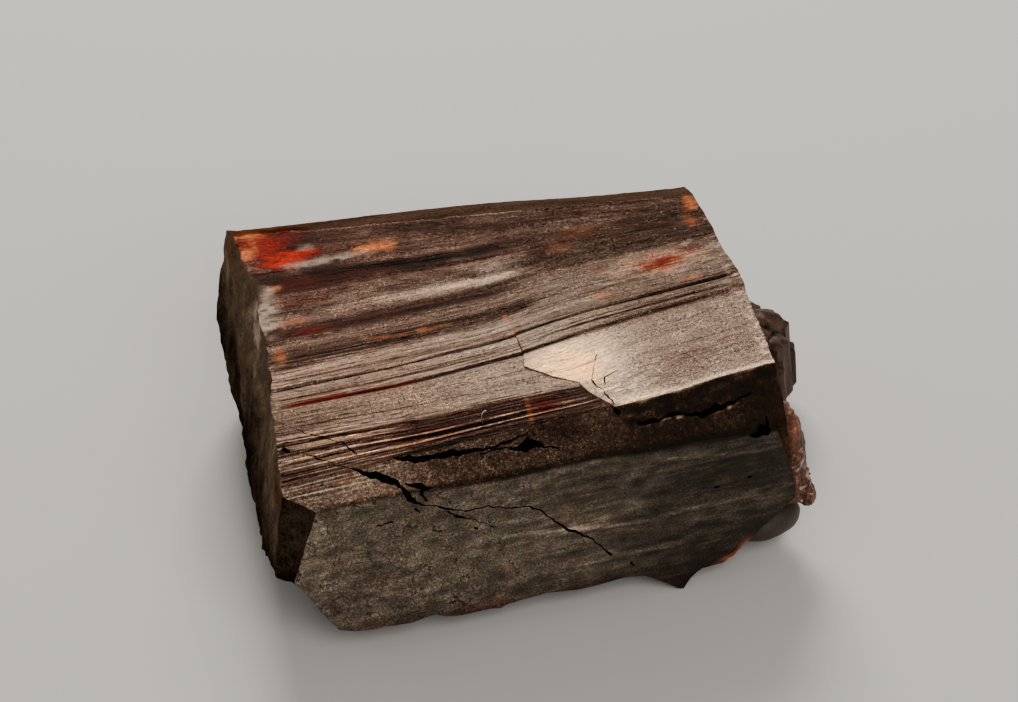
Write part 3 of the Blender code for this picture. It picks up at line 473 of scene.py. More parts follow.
def bevel_marks(x, z, v):
    """The grainy bevel: brown at the left, and nearly black with painted shade under the sharp edge at the
    right.
    """
    upper = rise(v, -8.2, -8.05)
    upper_right = upper * rise(x, 2.0, 2.6)
    # Painted shade darkens the bevel towards the right, where it is steeper, and along its foot; the ridges
    # at its left end carry painted highlights.
    light = 0.37 - 0.08 * rise(x, -6.0, 1.0) - 0.13 * rise(x, 1.0, 6.0) + 0.15 * (1.0 - rise(x, -6.0, -3.0))
    light = light - 0.22 * (1.0 - rise(v, -8.84, -8.66)) * rise(x, -10.5, -8.6)
    light = light + 0.1 * lumps(x / 1.5, v / 0.5, seed=61)
    light = light + 0.5 * comb(x, v) * (1.0 - rise(x, -7.4, -5.0)) * rise(v, -8.5, -8.0)
    rough = lumps(x / 0.5, v / 0.2, seed=77) + 0.6 * lumps(x / 0.18, v / 0.1, seed=78)
    light = light + upper_right * (0.22 * rough - 0.12)
    # A painted highlight runs along the sharp edge.
    edge = hump(v, -7.33, 0.04) * rise(x, 2.1, 2.6)
    light = light + 0.45 * edge * (0.7 + 0.5 * lumps(x / 0.4, 0.0, seed=60))

    # Painted glints dot the lower lip of the edge crack here and there.
    crack_z = np.interp(x, (2.8, 4.0, 4.43, 4.83, 5.2, 6.14, 7.13), (7.66, 7.64, 7.61, 7.46, 7.4, 7.53, 7.74))
    lip = hump(z - crack_z, -0.03 * lumps(x / 0.3, 3.0, seed=37), 0.045)
    lip = lip * rise(x, 2.8, 3.4) * (1.0 - rise(x, 6.6, 7.2))
    light = light + 0.7 * lip * np.clip(0.1 + 1.3 * lumps(x / 0.16, 5.0, seed=38), 0.0, 1.0)
    red = 0.6 * spot(x, v, 2.15, -7.65, 0.12, 0.2) + 0.06 * upper * rise(x, 2.0, 4.0)
    ochre = 0.4 * spot(x, v, -7.7, -7.75, 0.4, 0.15) + 0.08 * spot(x, v, -6.0, -8.7, 2.0, 0.12)
    return light, red, ochre, np.zeros_like(x)


FRONT_STREAKS = [  # half-width, amount, then the x and z of its points
    (0.09, 0.34, (-2.8, 4.35), (0.0, 4.0), (1.2, 3.75), (3.0, 3.62), (4.3, 3.78), (5.5, 3.7), (7.0, 3.75)),
    (0.07, 0.16, (0.6, 6.95), (2.5, 6.6), (4.5, 6.15), (6.0, 5.95), (7.8, 5.6)),
    (0.07, 0.16, (0.0, 2.15), (1.5, 2.3), (3.0, 2.25), (4.5, 2.0)),
    (0.06, 0.1, (-9.0, 2.5), (-7.0, 2.8), (-5.0, 2.6), (-3.0, 2.8)),
    (0.05, 0.12, (-9.0, 1.75), (-8.0, 1.9), (-6.0, 1.85)),
    (0.04, 0.12, (3.5, 6.75), (4.2, 6.45), (4.6, 6.6), (6.5, 6.3))]


def front_marks(x, z):
    """The satin front face: grey-green with wavy light streaks, browner and darker at its rims, and a painted
    shadow along its top under the bevel.
    """
    flow = z + 0.16 * lumps(x / 1.6, z / 1.0, seed=62) + 0.06 * lumps(x / 0.5, z / 0.5, seed=63)
    streaked = 0.35 + 0.65 * rise(x, -4.0, 1.0)
    waves = 0.08 * lumps(x / 2.4, flow / 0.4, seed=64) + 0.11 * lumps(x / 1.2, flow / 0.13, seed=65)
    folds = 1.0 - 2.0 * np.abs(lumps(x / 0.45, z / 0.4, seed=75))
    crumple = 0.5 * lumps(x / 0.9, z / 0.8, seed=70) + 0.5 * folds
    light = 0.5 - 0.24 * rise(x, -1.5, 6.0) - 0.08 * (1.0 - rise(z, 1.0, 2.4))
    light = light + waves * streaked + 0.17 * crumple * (1.0 - streaked)
    for half, strength, *points in FRONT_STREAKS:
        px, pz = np.array(points).T
        reach = rise(x, px[0] - 0.6, px[0] + 0.8) * (1.0 - rise(x, px[-1] - 1.0, px[-1] + 0.6))
        off = z - np.interp(x, px, pz) + 0.03 * lumps(x / 0.8, z, seed=66)
        light = light + strength * reach * hump(off, 0.0, half, 1.5)
    light = light + 0.12 * spot(x, z, -9.4, 5.2, 0.9, 1.1, 1.0, seed=67)
    # A painted shadow lies along the top of the face, under the bevel.
    light = light - 0.12 * (1.0 - rise(7.1 - 0.03 * x - z, 0.05, 0.35)) * rise(x, -8.0, 0.0)
    red = 0.35 * (1.0 - rise(z, 0.9, 2.0)) + 0.15 * lumps(x / 1.8, z / 1.2, seed=68)
    _, edge_z = read(lower_edge, x)
    rusty_edge = 1.0 - rise(z - edge_z + 0.1 * lumps(x / 0.4, z / 0.2, seed=79), 0.05, 0.35)
    rusty_edge = rusty_edge * rise(x, 5.1, 5.6) * (1.0 - rise(x, 6.3, 6.9))
    ochre = 0.75 * rusty_edge + 0.08 * spot(x, z, -2.4, 2.8, 0.25, 0.9, 1.0)
    return light, red, ochre, np.zeros_like(x)


rear_strip = broken & (v > 6.3) & (v < 7.8)
marks = np.zeros(x.shape + (4,))
for where, made in (((finish == STRIATED) | rear_strip, striated_marks(x, y, v, left)),
                    (finish == BEVEL, bevel_marks(x, z, v)),
                    (finish == FRONT_FACE, front_marks(x, z))):
    made = np.stack(np.broadcast_arrays(*made), -1)
    marks = np.where(where[..., None], made, marks)
dull = 0.34 + 0.17 * rear_strip + 0.08 * lumps(x / 2.0, y / 0.7, z / 0.7, seed=69)
marks[..., 0] = np.where(broken, dull, marks[..., 0])

# A fifth amount is how crowded the fine striations are, from 0 to about 1.5.
CROWD_LEFT = np.array([(-7.3, 1.0), (-5.95, 1.0), (-5.6, 0.4), (-4.1, 0.3), (-3.8, 0.9), (-1.1, 0.9),
                       (-0.6, 0.6), (0.5, 0.5), (6.5, 0.4)]).T
CROWD_RIGHT = np.array([(-7.3, 0.12), (-6.0, 0.14), (-4.0, 0.14), (-3.6, 0.8), (-1.0, 0.7), (0.5, 0.3),
                        (7.0, 0.2)]).T
crowd = np.interp(v, *CROWD_LEFT) * left + np.interp(v, *CROWD_RIGHT) * (1.0 - left)
crowd = crowd + 0.6 * spot(x, v, 6.7, -6.35, 1.3, 0.45) + 0.5 * spot(x, v, 3.3, -6.7, 1.0, 0.35)
crowd = crowd + 0.5 * left * (1.0 - rise(x, -7.0, -4.4)) * rise(v, -6.4, -6.2) * (1.0 - rise(v, -4.9, -4.4))


# ---- the broken ends, filled in --------------------------------------------------------------
# Each end is closed by a fine mesh of points, every one as deep as the broken surface is there.
def end_marks(x, y, z):
    """Broken faces: brown; the left end is painted lighter at its top and nearly black low down with painted
    shade, and darker on its small corner facet.
    """
    at_left, at_right = x < 0.0, x > 0.0
    # Painted shade darkens the left end low down, with a blotchy upper border.
    painted_shade_low = 1.0 - rise(z + 0.9 * lumps(y / 1.6, z / 1.3, seed=162), 3.0, 7.0)
    on_facet = (1.0 - rise(np.abs(x - corner_facet(y, z)), 0.1, 0.3)) * (z > 4.0)
    light = 0.36 + 0.1 * lumps(y / 0.8, z / 0.8, seed=71) + 0.08 * lumps(y / 0.25, z / 0.25, seed=72)
    pale_rim = spot(y, z, 1.6, 8.2, 1.4, 0.5)
    light = light + at_left * (0.27 - 0.46 * painted_shade_low - 0.3 * on_facet + 0.25 * pale_rim)
    red = 0.3 * spot(y, z, -6.8, 6.9, 0.9, 0.8) * at_left + 0.25 * at_right
    ochre = 0.16 * spot(y, z, 6.5, 7.8, 1.5, 0.8) + 0.5 * spot(y, z, -7.8, 1.8, 0.6, 0.4) * at_right
    pale = 0.5 * spot(y, z, 2.2, 8.2, 1.5, 0.6, 1.0) * at_left
    return np.stack(np.broadcast_arrays(light, red, ochre, pale), -1)


def within(ring, places):
    """Which places lie inside a closed ring."""
    ay, az = ring.T
    by, bz = np.roll(ring, -1, 0).T
    py, pz = places[:, :1], places[:, 1:]
    spans = (az > pz) != (bz > pz)
    meets = ay + (by - ay) * (pz - az) / np.where(bz == az, 1e-9, bz - az)
    return np.sum(spans & (py < meets), 1) % 2 == 1


def fill_end(column, end, spacing):
    """Points and triangles that close the loft at one column."""
    ring = grid[:, column, 1:]
    ys, zs = np.meshgrid(np.arange(-8.35, 8.3, spacing), np.arange(0.05, TOP, spacing), indexing="ij")
    jitter = 0.3 * spacing
    spread = np.stack([ys + jitter * random_at(*np.indices(ys.shape), 0, 73),
                       zs + jitter * random_at(*np.indices(ys.shape), 0, 74)], -1).reshape(-1, 2)
    gap = np.array([np.min(np.hypot(*(ring - p).T)) for p in spread])
    spread = spread[(gap > 0.45 * spacing) & within(ring, spread)]
    everything = [Vector(p) for p in np.vstack([ring, spread])]
    border = [list(range(len(ring)))]
    made, _, faces, sources, _, _ = geometry.delaunay_2d_cdt(everything, [], border, 1, 1e-5, True)
    flat = np.array(made)
    corners = flat[np.array(faces)]
    wide = np.abs(np.cross(corners[:, 1] - corners[:, 0], corners[:, 2] - corners[:, 0])) > 1e-8
    kept = wide & within(ring, corners.mean(1))
    faces = [face for face, keep in zip(faces, kept) if keep]
    number, fresh = {}, []
    for face in faces:
        for corner in face:
            if corner in number:
                continue
            own = [s for s in sources[corner] if s < len(ring)]
            if own:
                number[corner] = own[0] * columns + column % columns
            else:
                number[corner] = len(grid) * columns + len(fresh)
                fresh.append(tuple(made[corner]))
    fresh = np.array(fresh)
    depth = end(fresh[:, 0], fresh[:, 1])
    return np.column_stack([depth, fresh]), [[number[c] for c in face] for face in faces]


left_points, left_faces = fill_end(0, left_end, 0.13)
right_points, right_faces = fill_end(-1, right_end, 0.17)
loft_count, left_count = grid.shape[0] * columns, len(left_points)
right_faces = [[c + left_count if c >= loft_count else c for c in face] for face in right_faces]
crystal_points = np.vstack([grid.reshape(-1, 3), left_points, right_points])
at = np.arange(loft_count).reshape(len(rows), columns)
ahead = np.roll(at, -1, 0)
quads = np.stack([at[:, :-1], at[:, 1:], ahead[:, 1:], ahead[:, :-1]], -1)
crystal_faces = quads.reshape(-1, 4).tolist() + [face[::-1] for face in left_faces] + right_faces
face_finish = np.concatenate([row_finish[:, None].repeat(columns - 1, 1).reshape(-1),
                              np.full(len(left_faces) + len(right_faces), BROKEN)])
ends = np.vstack([left_points, right_points])
bent = np.stack([x, v], -1).reshape(-1, 2)
point_uv = np.vstack([bent, ends[:, 1:]])
point_crowd = np.concatenate([crowd.reshape(-1), np.zeros(len(ends))])


# ======== THE CRYSTAL: ITS FINISHES ===========================================================
# One stone with six finishes, from the submetallic sheen of the striated face to the black inside
# of a crack.  Patterns are given as so many to the millimetre, on the crystal's own coordinates or
# along its striations; the grain of a real face is finer than shows here, so it is drawn coarser.
MM = 0.001


def tint(code):
    """A screen colour written in hex, as linear light."""
    parts = [int(code[i:i + 2], 16) / 255.0 for i in (0, 2, 4)]
    return [p / 12.92 if p <= 0.04045 else ((p + 0.055) / 1.055) ** 2.4 for p in parts] + [1.0]


def add(tree, kind, inputs=None, stops=(), **settings):
    """Add a node with its settings, its colour stops and its inputs.

    An input is a value, a socket, or a node, which is linked by its first live output.
    """
    made = tree.nodes.new(kind if "Node" in kind else "ShaderNode" + kind)
    for name, value in settings.items():
        setattr(made, name, value)
    for number, (place, code) in enumerate(stops):
        elements = made.color_ramp.elements
        stop = elements[number] if number < 2 else elements.new(place)
        stop.position = place
        stop.color = tint(code)
    for key, value in (inputs or {}).items():
        if isinstance(value, bpy.types.Node):
            value = next(output for output in value.outputs if output.enabled)
        if isinstance(value, bpy.types.NodeSocket):
            tree.links.new(value, made.inputs[key])
        else:
            made.inputs[key].default_value = value
    return made


def new_material(name):
    """A material with no nodes yet, its tree, and the place on the piece in millimetres."""
    material = bpy.data.materials.new(name)
    material.use_nodes = True
    tree = material.node_tree
    tree.nodes.clear()
    metres = add(tree, "TexCoord").outputs["Object"]
    return material, tree, add(tree, "VectorMath", {0: metres, "Scale": 1.0 / MM}, operation="SCALE")


def surfaced(material, inputs):
    """Give a material its one surface."""
    surface = add(material.node_tree, "BsdfPrincipled", inputs)
    add(material.node_tree, "OutputMaterial", {0: surface})
    return material


def mottle(tree, way, per_mm, detail=2.0, roughness=0.5):
    """Soft uneven patches from 0 to 1, so many to the millimetre each way."""
    spread = add(tree, "VectorMath", {0: way, 1: np.broadcast_to(per_mm, 3)}, operation="MULTIPLY")
    return add(tree, "TexNoise", {"Vector": spread, "Scale": 1.0, "Detail": detail, "Roughness": roughness})


def lay(tree, light, pattern, strength):
    """A light value with a pattern added."""
    laid = add(tree, "Math", {0: pattern, 1: strength}, operation="MULTIPLY")
    return add(tree, "Math", {0: light, 1: laid}, operation="ADD")


def vary(tree, light, pattern, strength):
    """A light value varied both ways by a pattern about one half."""
    return lay(tree, light, add(tree, "Math", {0: pattern, 1: 0.5}, operation="SUBTRACT"), strength)


def glints(tree, place, pitch, start):
    """Painted glints: bright where fine facets would catch the light, in loose clusters."""
    fine = vary(tree, mottle(tree, place, 1.0 / pitch, 1.0), mottle(tree, place, 1.6, 3.0), 0.4)
    return add(tree, "MapRange", {0: fine, 1: start, 2: start + 0.07})


def stain(tree, place, colour, amounts, deep="4a0c06", red="941802", ochre="b4663c", pale="a8988a"):
    """Lay the red, ochre and pale stains over a colour; weak red only tints what is under it."""
    patchy = add(tree, "Math", {0: mottle(tree, place, 4.0, 4.0, 0.7), 1: 3.0, 2: -0.5},
                 operation="MULTIPLY_ADD")
    parts = add(tree, "SeparateColor", {0: amounts})
    weak = add(tree, "MapRange", {0: parts.outputs["Green"], 1: 0.0, 2: 0.7})
    vivid = add(tree, "MapRange", {0: parts.outputs["Green"], 1: 0.45, 2: 0.8, 3: 0.0, 4: 0.92})
    broken_up = add(tree, "MapRange", {0: patchy, 1: 0.4, 2: 1.2, 3: 0.45})
    vivid = add(tree, "Math", {0: vivid, 1: broken_up}, operation="MULTIPLY")
    rust = add(tree, "MapRange", {0: parts.outputs["Green"], 1: 0.75, 2: 1.6})
    rusty = add(tree, "Mix", {0: rust, 6: tint(deep), 7: tint(red)}, data_type="RGBA")
    ochred = add(tree, "Math", {0: parts.outputs["Blue"], 1: patchy}, operation="MULTIPLY")
    paled = add(tree, "Math", {0: amounts.outputs["Alpha"], 1: patchy}, operation="MULTIPLY")
    colour = add(tree, "Mix", {0: weak, 6: colour, 7: tint("cf6644")},
                 data_type="RGBA", blend_type="MULTIPLY")
    colour = add(tree, "Mix", {0: vivid, 6: colour, 7: rusty}, data_type="RGBA")
    colour = add(tree, "Mix", {0: ochred, 6: colour, 7: tint(ochre)}, data_type="RGBA")
    return add(tree, "Mix", {0: paled, 6: colour, 7: tint(pale)}, data_type="RGBA")


def striated_tantalite():
    """Growth faces, striated by nature: submetallic brown, with a silky sheen along the streaks, partly
    painted into the colour.
    """
    material, tree, place = new_material("striated tantalite")
    way = add(tree, "UVMap", uv_map="striation")
    amounts = add(tree, "Attribute", attribute_name="marks")
    crowd = add(tree, "Attribute", attribute_name="crowd").outputs["Fac"]
    streak = mottle(tree, way, (0.3, 7.0, 1.0), 4.0, 0.65)
    fine = mottle(tree, way, (0.9, 16.0, 1.0), 3.0, 0.6)
    grain = mottle(tree, place, 10.0, 3.0, 0.7)
    graininess = add(tree, "Math", {0: crowd, 1: -0.6, 2: 1.05}, operation="MULTIPLY_ADD")
    light = add(tree, "SeparateColor", {0: amounts})
    light = vary(tree, light, streak, add(tree, "Math", {0: crowd, 1: 0.42}, operation="MULTIPLY"))
    light = vary(tree, light, fine, add(tree, "Math", {0: crowd, 1: 0.36}, operation="MULTIPLY"))
    light = vary(tree, light, grain, graininess)

    # Where striations crowd, long bright treads and dark ruts run along them, and short dashes; the treads
    # and ruts are partly painted highlights and shade of the steps.
    treads = add(tree, "MapRange", {0: mottle(tree, way, (0.08, 14.0, 1.0), 1.0), 1: 0.53, 2: 0.61})
    tread_light = add(tree, "MapRange", {0: crowd, 1: 0.8, 2: 1.4, 3: 0.0, 4: 0.36})
    ruts = mottle(tree, way, (0.15, 12.0, 1.0), 1.0)
    ruts = add(tree, "MapRange", {0: ruts, 1: 0.55, 2: 0.63, 3: 0.2, 4: -0.8})
    rut_light = add(tree, "MapRange", {0: crowd, 1: 0.45, 2: 0.85, 3: 0.0, 4: 0.24})
    dashes = mottle(tree, way, (1.3, 11.0, 1.0))
    dashes = add(tree, "MapRange", {0: dashes, 1: 0.56, 2: 0.66, 3: 0.0, 4: 0.26})
    dashes = add(tree, "Math", {0: dashes, 1: crowd}, operation="MULTIPLY")
    light = lay(tree, lay(tree, light, treads, tread_light), ruts, rut_light)
    light = add(tree, "Math", {0: light, 1: dashes}, operation="SUBTRACT")
    # Painted glints are laid over the streaks, and the ramp's cream top is the colour of the painted sheen.
    light = lay(tree, light, glints(tree, place, 0.05, 0.62), 0.2)
    colour = add(tree, "ValToRGB", {0: add(tree, "Math", {0: light, 1: 0.8}, operation="MULTIPLY")}, (
        (0.0, "070302"), (0.12, "22110a"), (0.24, "412e24"), (0.36, "5e4e43"), (0.48, "827263"),
        (0.64, "bda388"), (0.76, "f0b67c"), (0.9, "febc76"), (1.0, "ffcb8a")))

    # The lightest patches are polished smoother.
    polish = add(tree, "MapRange", {0: light, 1: 0.7, 2: 1.1, 3: 0.0, 4: 0.19})
    rough = add(tree, "MapRange", {0: grain, 1: 0.3, 2: 0.7, 3: 0.24, 4: 0.46})
    height = lay(tree, lay(tree, streak, fine, 0.4), grain, 0.5)
    return surfaced(material, {
        "Base Color": stain(tree, place, colour, amounts), "Metallic": 0.7,
        "Roughness": add(tree, "Math", {0: rough, 1: polish}, operation="SUBTRACT"),
        "Normal": add(tree, "Bump", {"Strength": 0.9, "Distance": 0.06 * MM, "Height": height}),
        "Specular IOR Level": 0.08, "Specular Tint": tint("e2dad3")})


def grainy_bevel():
    """A coarser growth face: grainy brown, with its grain and the painted glints of its facets strongest at
    its left end.
    """
    material, tree, place = new_material("grainy tantalite bevel")
    amounts = add(tree, "Attribute", attribute_name="marks")
    grain = mottle(tree, place, 11.0, 3.0, 0.7)
    coarse = mottle(tree, place, 4.5)
    along_x = add(tree, "SeparateXYZ", {0: place})
    grain_and_glints = add(tree, "MapRange", {0: along_x, 1: -1.0, 2: 3.0, 3: 1.1, 4: 0.65})
    facets = add(tree, "Math", {0: grain_and_glints, 1: 0.25}, operation="MULTIPLY")
    light = vary(tree, add(tree, "SeparateColor", {0: amounts}), grain, grain_and_glints)
    light = vary(tree, light, coarse, 0.45)
    # Painted glints are laid over the grain.
    light = lay(tree, light, glints(tree, place, 0.055, 0.61), facets)
    colour = add(tree, "ValToRGB", {0: light}, (
        (0.0, "080503"), (0.2, "20140c"), (0.4, "4a372b"), (0.6, "7c6353"), (0.85, "bfa288"),
        (1.0, "f0dcc2")))
    height = add(tree, "Math", {0: coarse, 1: 2.5, 2: grain}, operation="MULTIPLY_ADD")
    return surfaced(material, {
        "Base Color": stain(tree, place, colour, amounts), "Roughness": 0.42,
        "Normal": add(tree, "Bump", {"Strength": 0.9, "Distance": 0.05 * MM, "Height": height}),
        "Specular IOR Level": 0.22, "Specular Tint": tint("d2b49c")})


def satin_front():
    """A smooth growth face: grey-green satin, cloudy at the left and streaked at the right."""
    material, tree, place = new_material("satin tantalite face")
    amounts = add(tree, "Attribute", attribute_name="marks")
    grain = mottle(tree, place, 13.0, 3.0, 0.7)
    cloud = mottle(tree, place, (1.4, 1.4, 2.2), 4.0, 0.6)
    satin = mottle(tree, place, (0.3, 1.0, 6.0), 3.0, 0.6)
    along_x = add(tree, "SeparateXYZ", {0: place})
    coarse = add(tree, "MapRange", {0: along_x, 1: -4.0, 2: 2.0, 3: 1.15, 4: 0.7})
    drawn = add(tree, "MapRange", {0: along_x, 1: -4.0, 2: 2.0, 3: 0.1, 4: 0.45})
    light = vary(tree, add(tree, "SeparateColor", {0: amounts}), grain, coarse)
    light = vary(tree, vary(tree, light, satin, drawn), cloud, 0.7)
    # Painted glints are laid over the satin.
    light = lay(tree, light, glints(tree, place, 0.05, 0.64), 0.18)

    # Hairline cracks are the borders of bent cells; they show in some clouds, mostly at the left.
    bend = add(tree, "TexNoise", {"Vector": place, "Scale": 1.6, "Detail": 3.0}).outputs["Color"]
    bend = add(tree, "VectorMath", {0: bend, "Scale": 1.1}, operation="SCALE")
    bent = add(tree, "VectorMath", {0: place, 1: bend}, operation="ADD")
    cells = add(tree, "TexVoronoi", {"Vector": bent, "Scale": 0.75}, feature="DISTANCE_TO_EDGE")
    veins = add(tree, "MapRange", {0: cells, 1: 0.0, 2: 0.022, 3: 0.5, 4: 0.0})
    clouded = add(tree, "MapRange", {0: cloud, 1: 0.48, 2: 0.54})
    crazed = add(tree, "MapRange", {0: along_x, 1: -4.0, 2: 1.0, 3: 1.0, 4: 0.15})
    crazed = add(tree, "Math", {0: clouded, 1: crazed}, operation="MULTIPLY")
    veins = add(tree, "Math", {0: veins, 1: crazed}, operation="MULTIPLY")
    light = add(tree, "Math", {0: light, 1: veins}, operation="SUBTRACT")
    colour = add(tree, "ValToRGB", {0: light}, (
        (0.0, "0c0a06"), (0.25, "292118"), (0.5, "50463a"), (0.7, "7f705e"), (1.0, "cdbba2")))
    return surfaced(material, {
        "Base Color": stain(tree, place, colour, amounts, deep="3c1e10", red="5c2f16"), "Roughness": 0.55,
        "Normal": add(tree, "Bump", {"Strength": 0.6, "Distance": 0.03 * MM, "Height": grain}),
        "Specular IOR Level": 0.2})


def broken_face():
    """Hackly broken ends, back and base: dull dark brown with iron stain, and no shine."""
    material, tree, place = new_material("broken tantalite")
    amounts = add(tree, "Attribute", attribute_name="marks")
    grain = mottle(tree, place, 8.0, 3.0, 0.7)
    cloud = mottle(tree, place, (0.4, 1.6, 1.9), 5.0, 0.65)
    light = vary(tree, add(tree, "SeparateColor", {0: amounts}), grain, 0.6)
    light = vary(tree, light, cloud, 0.35)
    colour = add(tree, "ValToRGB", {0: light}, (
        (0.0, "080604"), (0.2, "1b140e"), (0.4, "3a2e24"), (0.7, "6d5a49"), (1.0, "bfa68e")))
    height = lay(tree, mottle(tree, place, (2.6, 2.6, 2.0), 4.0, 0.6), grain, 0.4)
    return surfaced(material, {
        "Base Color": stain(tree, place, colour, amounts, deep="3c1a0c", red="6b2a14", ochre="8c4c22"),
        "Normal": add(tree, "Bump", {"Strength": 0.8, "Distance": 0.12 * MM, "Height": height}),
        "Roughness": 0.6, "Specular IOR Level": 0.0})


def crack_dark():
    """The inside of cracks and pits: almost black, partly as painted shade, with rusty specks."""
    material, tree, place = new_material("crack in tantalite")
    colour = add(tree, "ValToRGB", {0: mottle(tree, place, 7.0, 3.0, 0.7)}, (
        (0.3, "020202"), (0.6, "070504"), (0.75, "1c110a"), (0.9, "4a3426")))
    return surfaced(material, {"Base Color": colour, "Roughness": 0.7, "Specular IOR Level": 0.0})


def overgrown_lump():
    """Small crystals grown from the right end: brown with upright dark stripes, greyer in front."""
    material, tree, place = new_material("overgrown tantalite")
    upright = mottle(tree, place, (3.4, 3.4, 0.35), 3.0, 0.6)
    grain = mottle(tree, place, 9.0, 2.0, 0.7)
    along_y = add(tree, "SeparateXYZ", {0: place}).outputs["Y"]
    striped = add(tree, "MapRange", {0: along_y, 1: -5.0, 2: -3.0, 3: 0.1, 4: 0.75})
    light = lay(tree, vary(tree, 0.375, upright, striped), grain, 0.25)
    brown = add(tree, "ValToRGB", {0: light}, (
        (0.3, "120a06"), (0.45, "322015"), (0.6, "553a28"), (0.75, "86664c")))
    grey = add(tree, "Mix", {0: grain, 6: tint("2a241e"), 7: tint("4c4238")}, data_type="RGBA")
    in_front = add(tree, "Math", {0: along_y, 1: -4.0}, operation="LESS_THAN")
    return surfaced(material, {
        "Base Color": add(tree, "Mix", {0: in_front, 6: brown, 7: grey}, data_type="RGBA"), "Roughness": 0.5,
        "Normal": add(tree, "Bump", {"Strength": 0.6, "Distance": 0.05 * MM, "Height": light}),
        "Specular IOR Level": 0.25})


finishes = {BROKEN: broken_face(), FRONT_FACE: satin_front(), BEVEL: grainy_bevel(),
            STRIATED: striated_tantalite(), PIT: crack_dark(), LUMP: overgrown_lump()}
crystal_materials = [finishes[number] for number in sorted(finishes)]


# ======== THE CRYSTAL: ITS BODY ===============================================================
# The loft becomes a mesh, with its striation map and its marks on every face corner.  Small
# crystals are joined to it, cracks are cut from it, and it stays one closed solid.
def solid(name, points, faces, materials, finish, group=None):
    """A mesh object from points in millimetres."""
    mesh = bpy.data.meshes.new(name)
    mesh.from_pydata((np.asarray(points) * MM).tolist(), [], faces)
    for material in materials:
        mesh.materials.append(material)
    finish_of = np.broadcast_to(finish, len(mesh.polygons)).astype(np.int32)
    mesh.polygons.foreach_set("material_index", finish_of)
    made = bpy.data.objects.new(name, mesh)
    (group or bpy.context.scene.collection).objects.link(made)
    return made


def tube_faces(rings, around):
    """Faces that join every ring of points to the next."""
    return [[i * around + j, i * around + (j + 1) % around,
             (i + 1) * around + (j + 1) % around, (i + 1) * around + j]
            for i in range(rings - 1) for j in range(around)]


def baked(body):
    """Turn a body's modifiers into its mesh."""
    depsgraph = bpy.context.evaluated_depsgraph_get()
    mesh = bpy.data.meshes.new_from_object(body.evaluated_get(depsgraph), depsgraph=depsgraph)
    body.modifiers.clear()
    body.data = mesh


crystal = solid("crystal", crystal_points, crystal_faces, crystal_materials, face_finish)
corner_of = np.zeros(len(crystal.data.loops), np.int32)
crystal.data.loops.foreach_get("vertex_index", corner_of)
uv_layer = crystal.data.uv_layers.new(name="striation")
uv_layer.data.foreach_set("uv", point_uv[corner_of].astype(np.float32).ravel())
mark_layer = crystal.data.color_attributes.new("marks", "FLOAT_COLOR", "CORNER")
loft_marks = marks.reshape(-1, 4)[corner_of[:quads.size]]
end_corners = crystal_points[corner_of[quads.size:]]
corner_marks = np.vstack([loft_marks, end_marks(*end_corners.T)])
mark_layer.data.foreach_set("color", corner_marks.astype(np.float32).ravel())
crowd_layer = crystal.data.attributes.new("crowd", "FLOAT", "CORNER")
crowd_layer.data.foreach_set("value", point_crowd[corner_of].astype(np.float32))


# ---- small crystals grown from the right end ----------------------------------------------------
# A bundle of upright six-sided columns, grown into one another, and a smooth low lump in front.
growths = bpy.data.collections.new("growths")


def column_crystal(x, y, radius, bottom, top, seed):
    """One upright column with six worn sides and an uneven top."""
    around, levels = 36, 26
    angle = np.linspace(0.0, 2.0 * math.pi, around, endpoint=False)
    side = 0.866 / np.cos((angle + seed * 0.7) % (math.pi / 3.0) - math.pi / 6.0)
    share = np.linspace(0.0, 1.0, levels) ** 0.8
    shrunk_top = np.clip((1.0 - share) / 0.1, 0.0, 1.0) ** 0.7
    shrunk_foot = np.clip((share + 0.04) / 0.22, 0.0, 1.0) ** 0.5
    profile = np.minimum(shrunk_top, shrunk_foot) * 0.97 + 0.03
    a, s = np.meshgrid(angle, share)
    z = bottom + (top - bottom) * s
    wear = 1.0 + 0.05 * lumps(a * 2.0, z / 1.5, seed=80 + seed)
    wear = wear + 0.035 * lumps(a * 5.0, z / 2.5, seed=81 + seed)
    r = radius * side * profile[:, None] * wear
    slope = 0.22 * r * np.cos(a - 2.1 * seed)
    z = z + (slope + 0.12 * lumps(r * np.cos(a) / 0.5, r * np.sin(a) / 0.5, seed=82 + seed)) * s
    rings = np.stack([x + r * np.cos(a), y + r * np.sin(a), z], -1).reshape(-1, 3)
    peak = top + 0.02 + 0.12 * lumps(0.0, 0.0, seed=82 + seed)
    points = np.vstack([rings, [[x, y, bottom], [x, y, peak]]])
    faces = tube_faces(levels, around)
    last = (levels - 1) * around
    for j in range(around):
        k = (j + 1) % around
        faces += [[k, j, last + around], [last + j, last + k, last + around + 1]]
    return solid("column", points, faces, crystal_materials, LUMP, growths)


def pebble(name, centre, half, roughness, seed, group, materials, finish, rounds=5):
    """A rounded knob with uneven relief."""
    shape = bmesh.new()
    bmesh.ops.create_icosphere(shape, subdivisions=rounds, radius=1.0)
    way = np.array([vert.co for vert in shape.verts])
    faces = [[vert.index for vert in face.verts] for face in shape.faces]
    shape.free()
    place = way * half
    uneven = lumps(*(place / 0.7).T, seed=seed) + 0.5 * lumps(*(place / 0.3).T, seed=seed + 1)
    swell = 1.0 + roughness * uneven
    return solid(name, place * swell[:, None] + centre, faces, materials, finish, group)


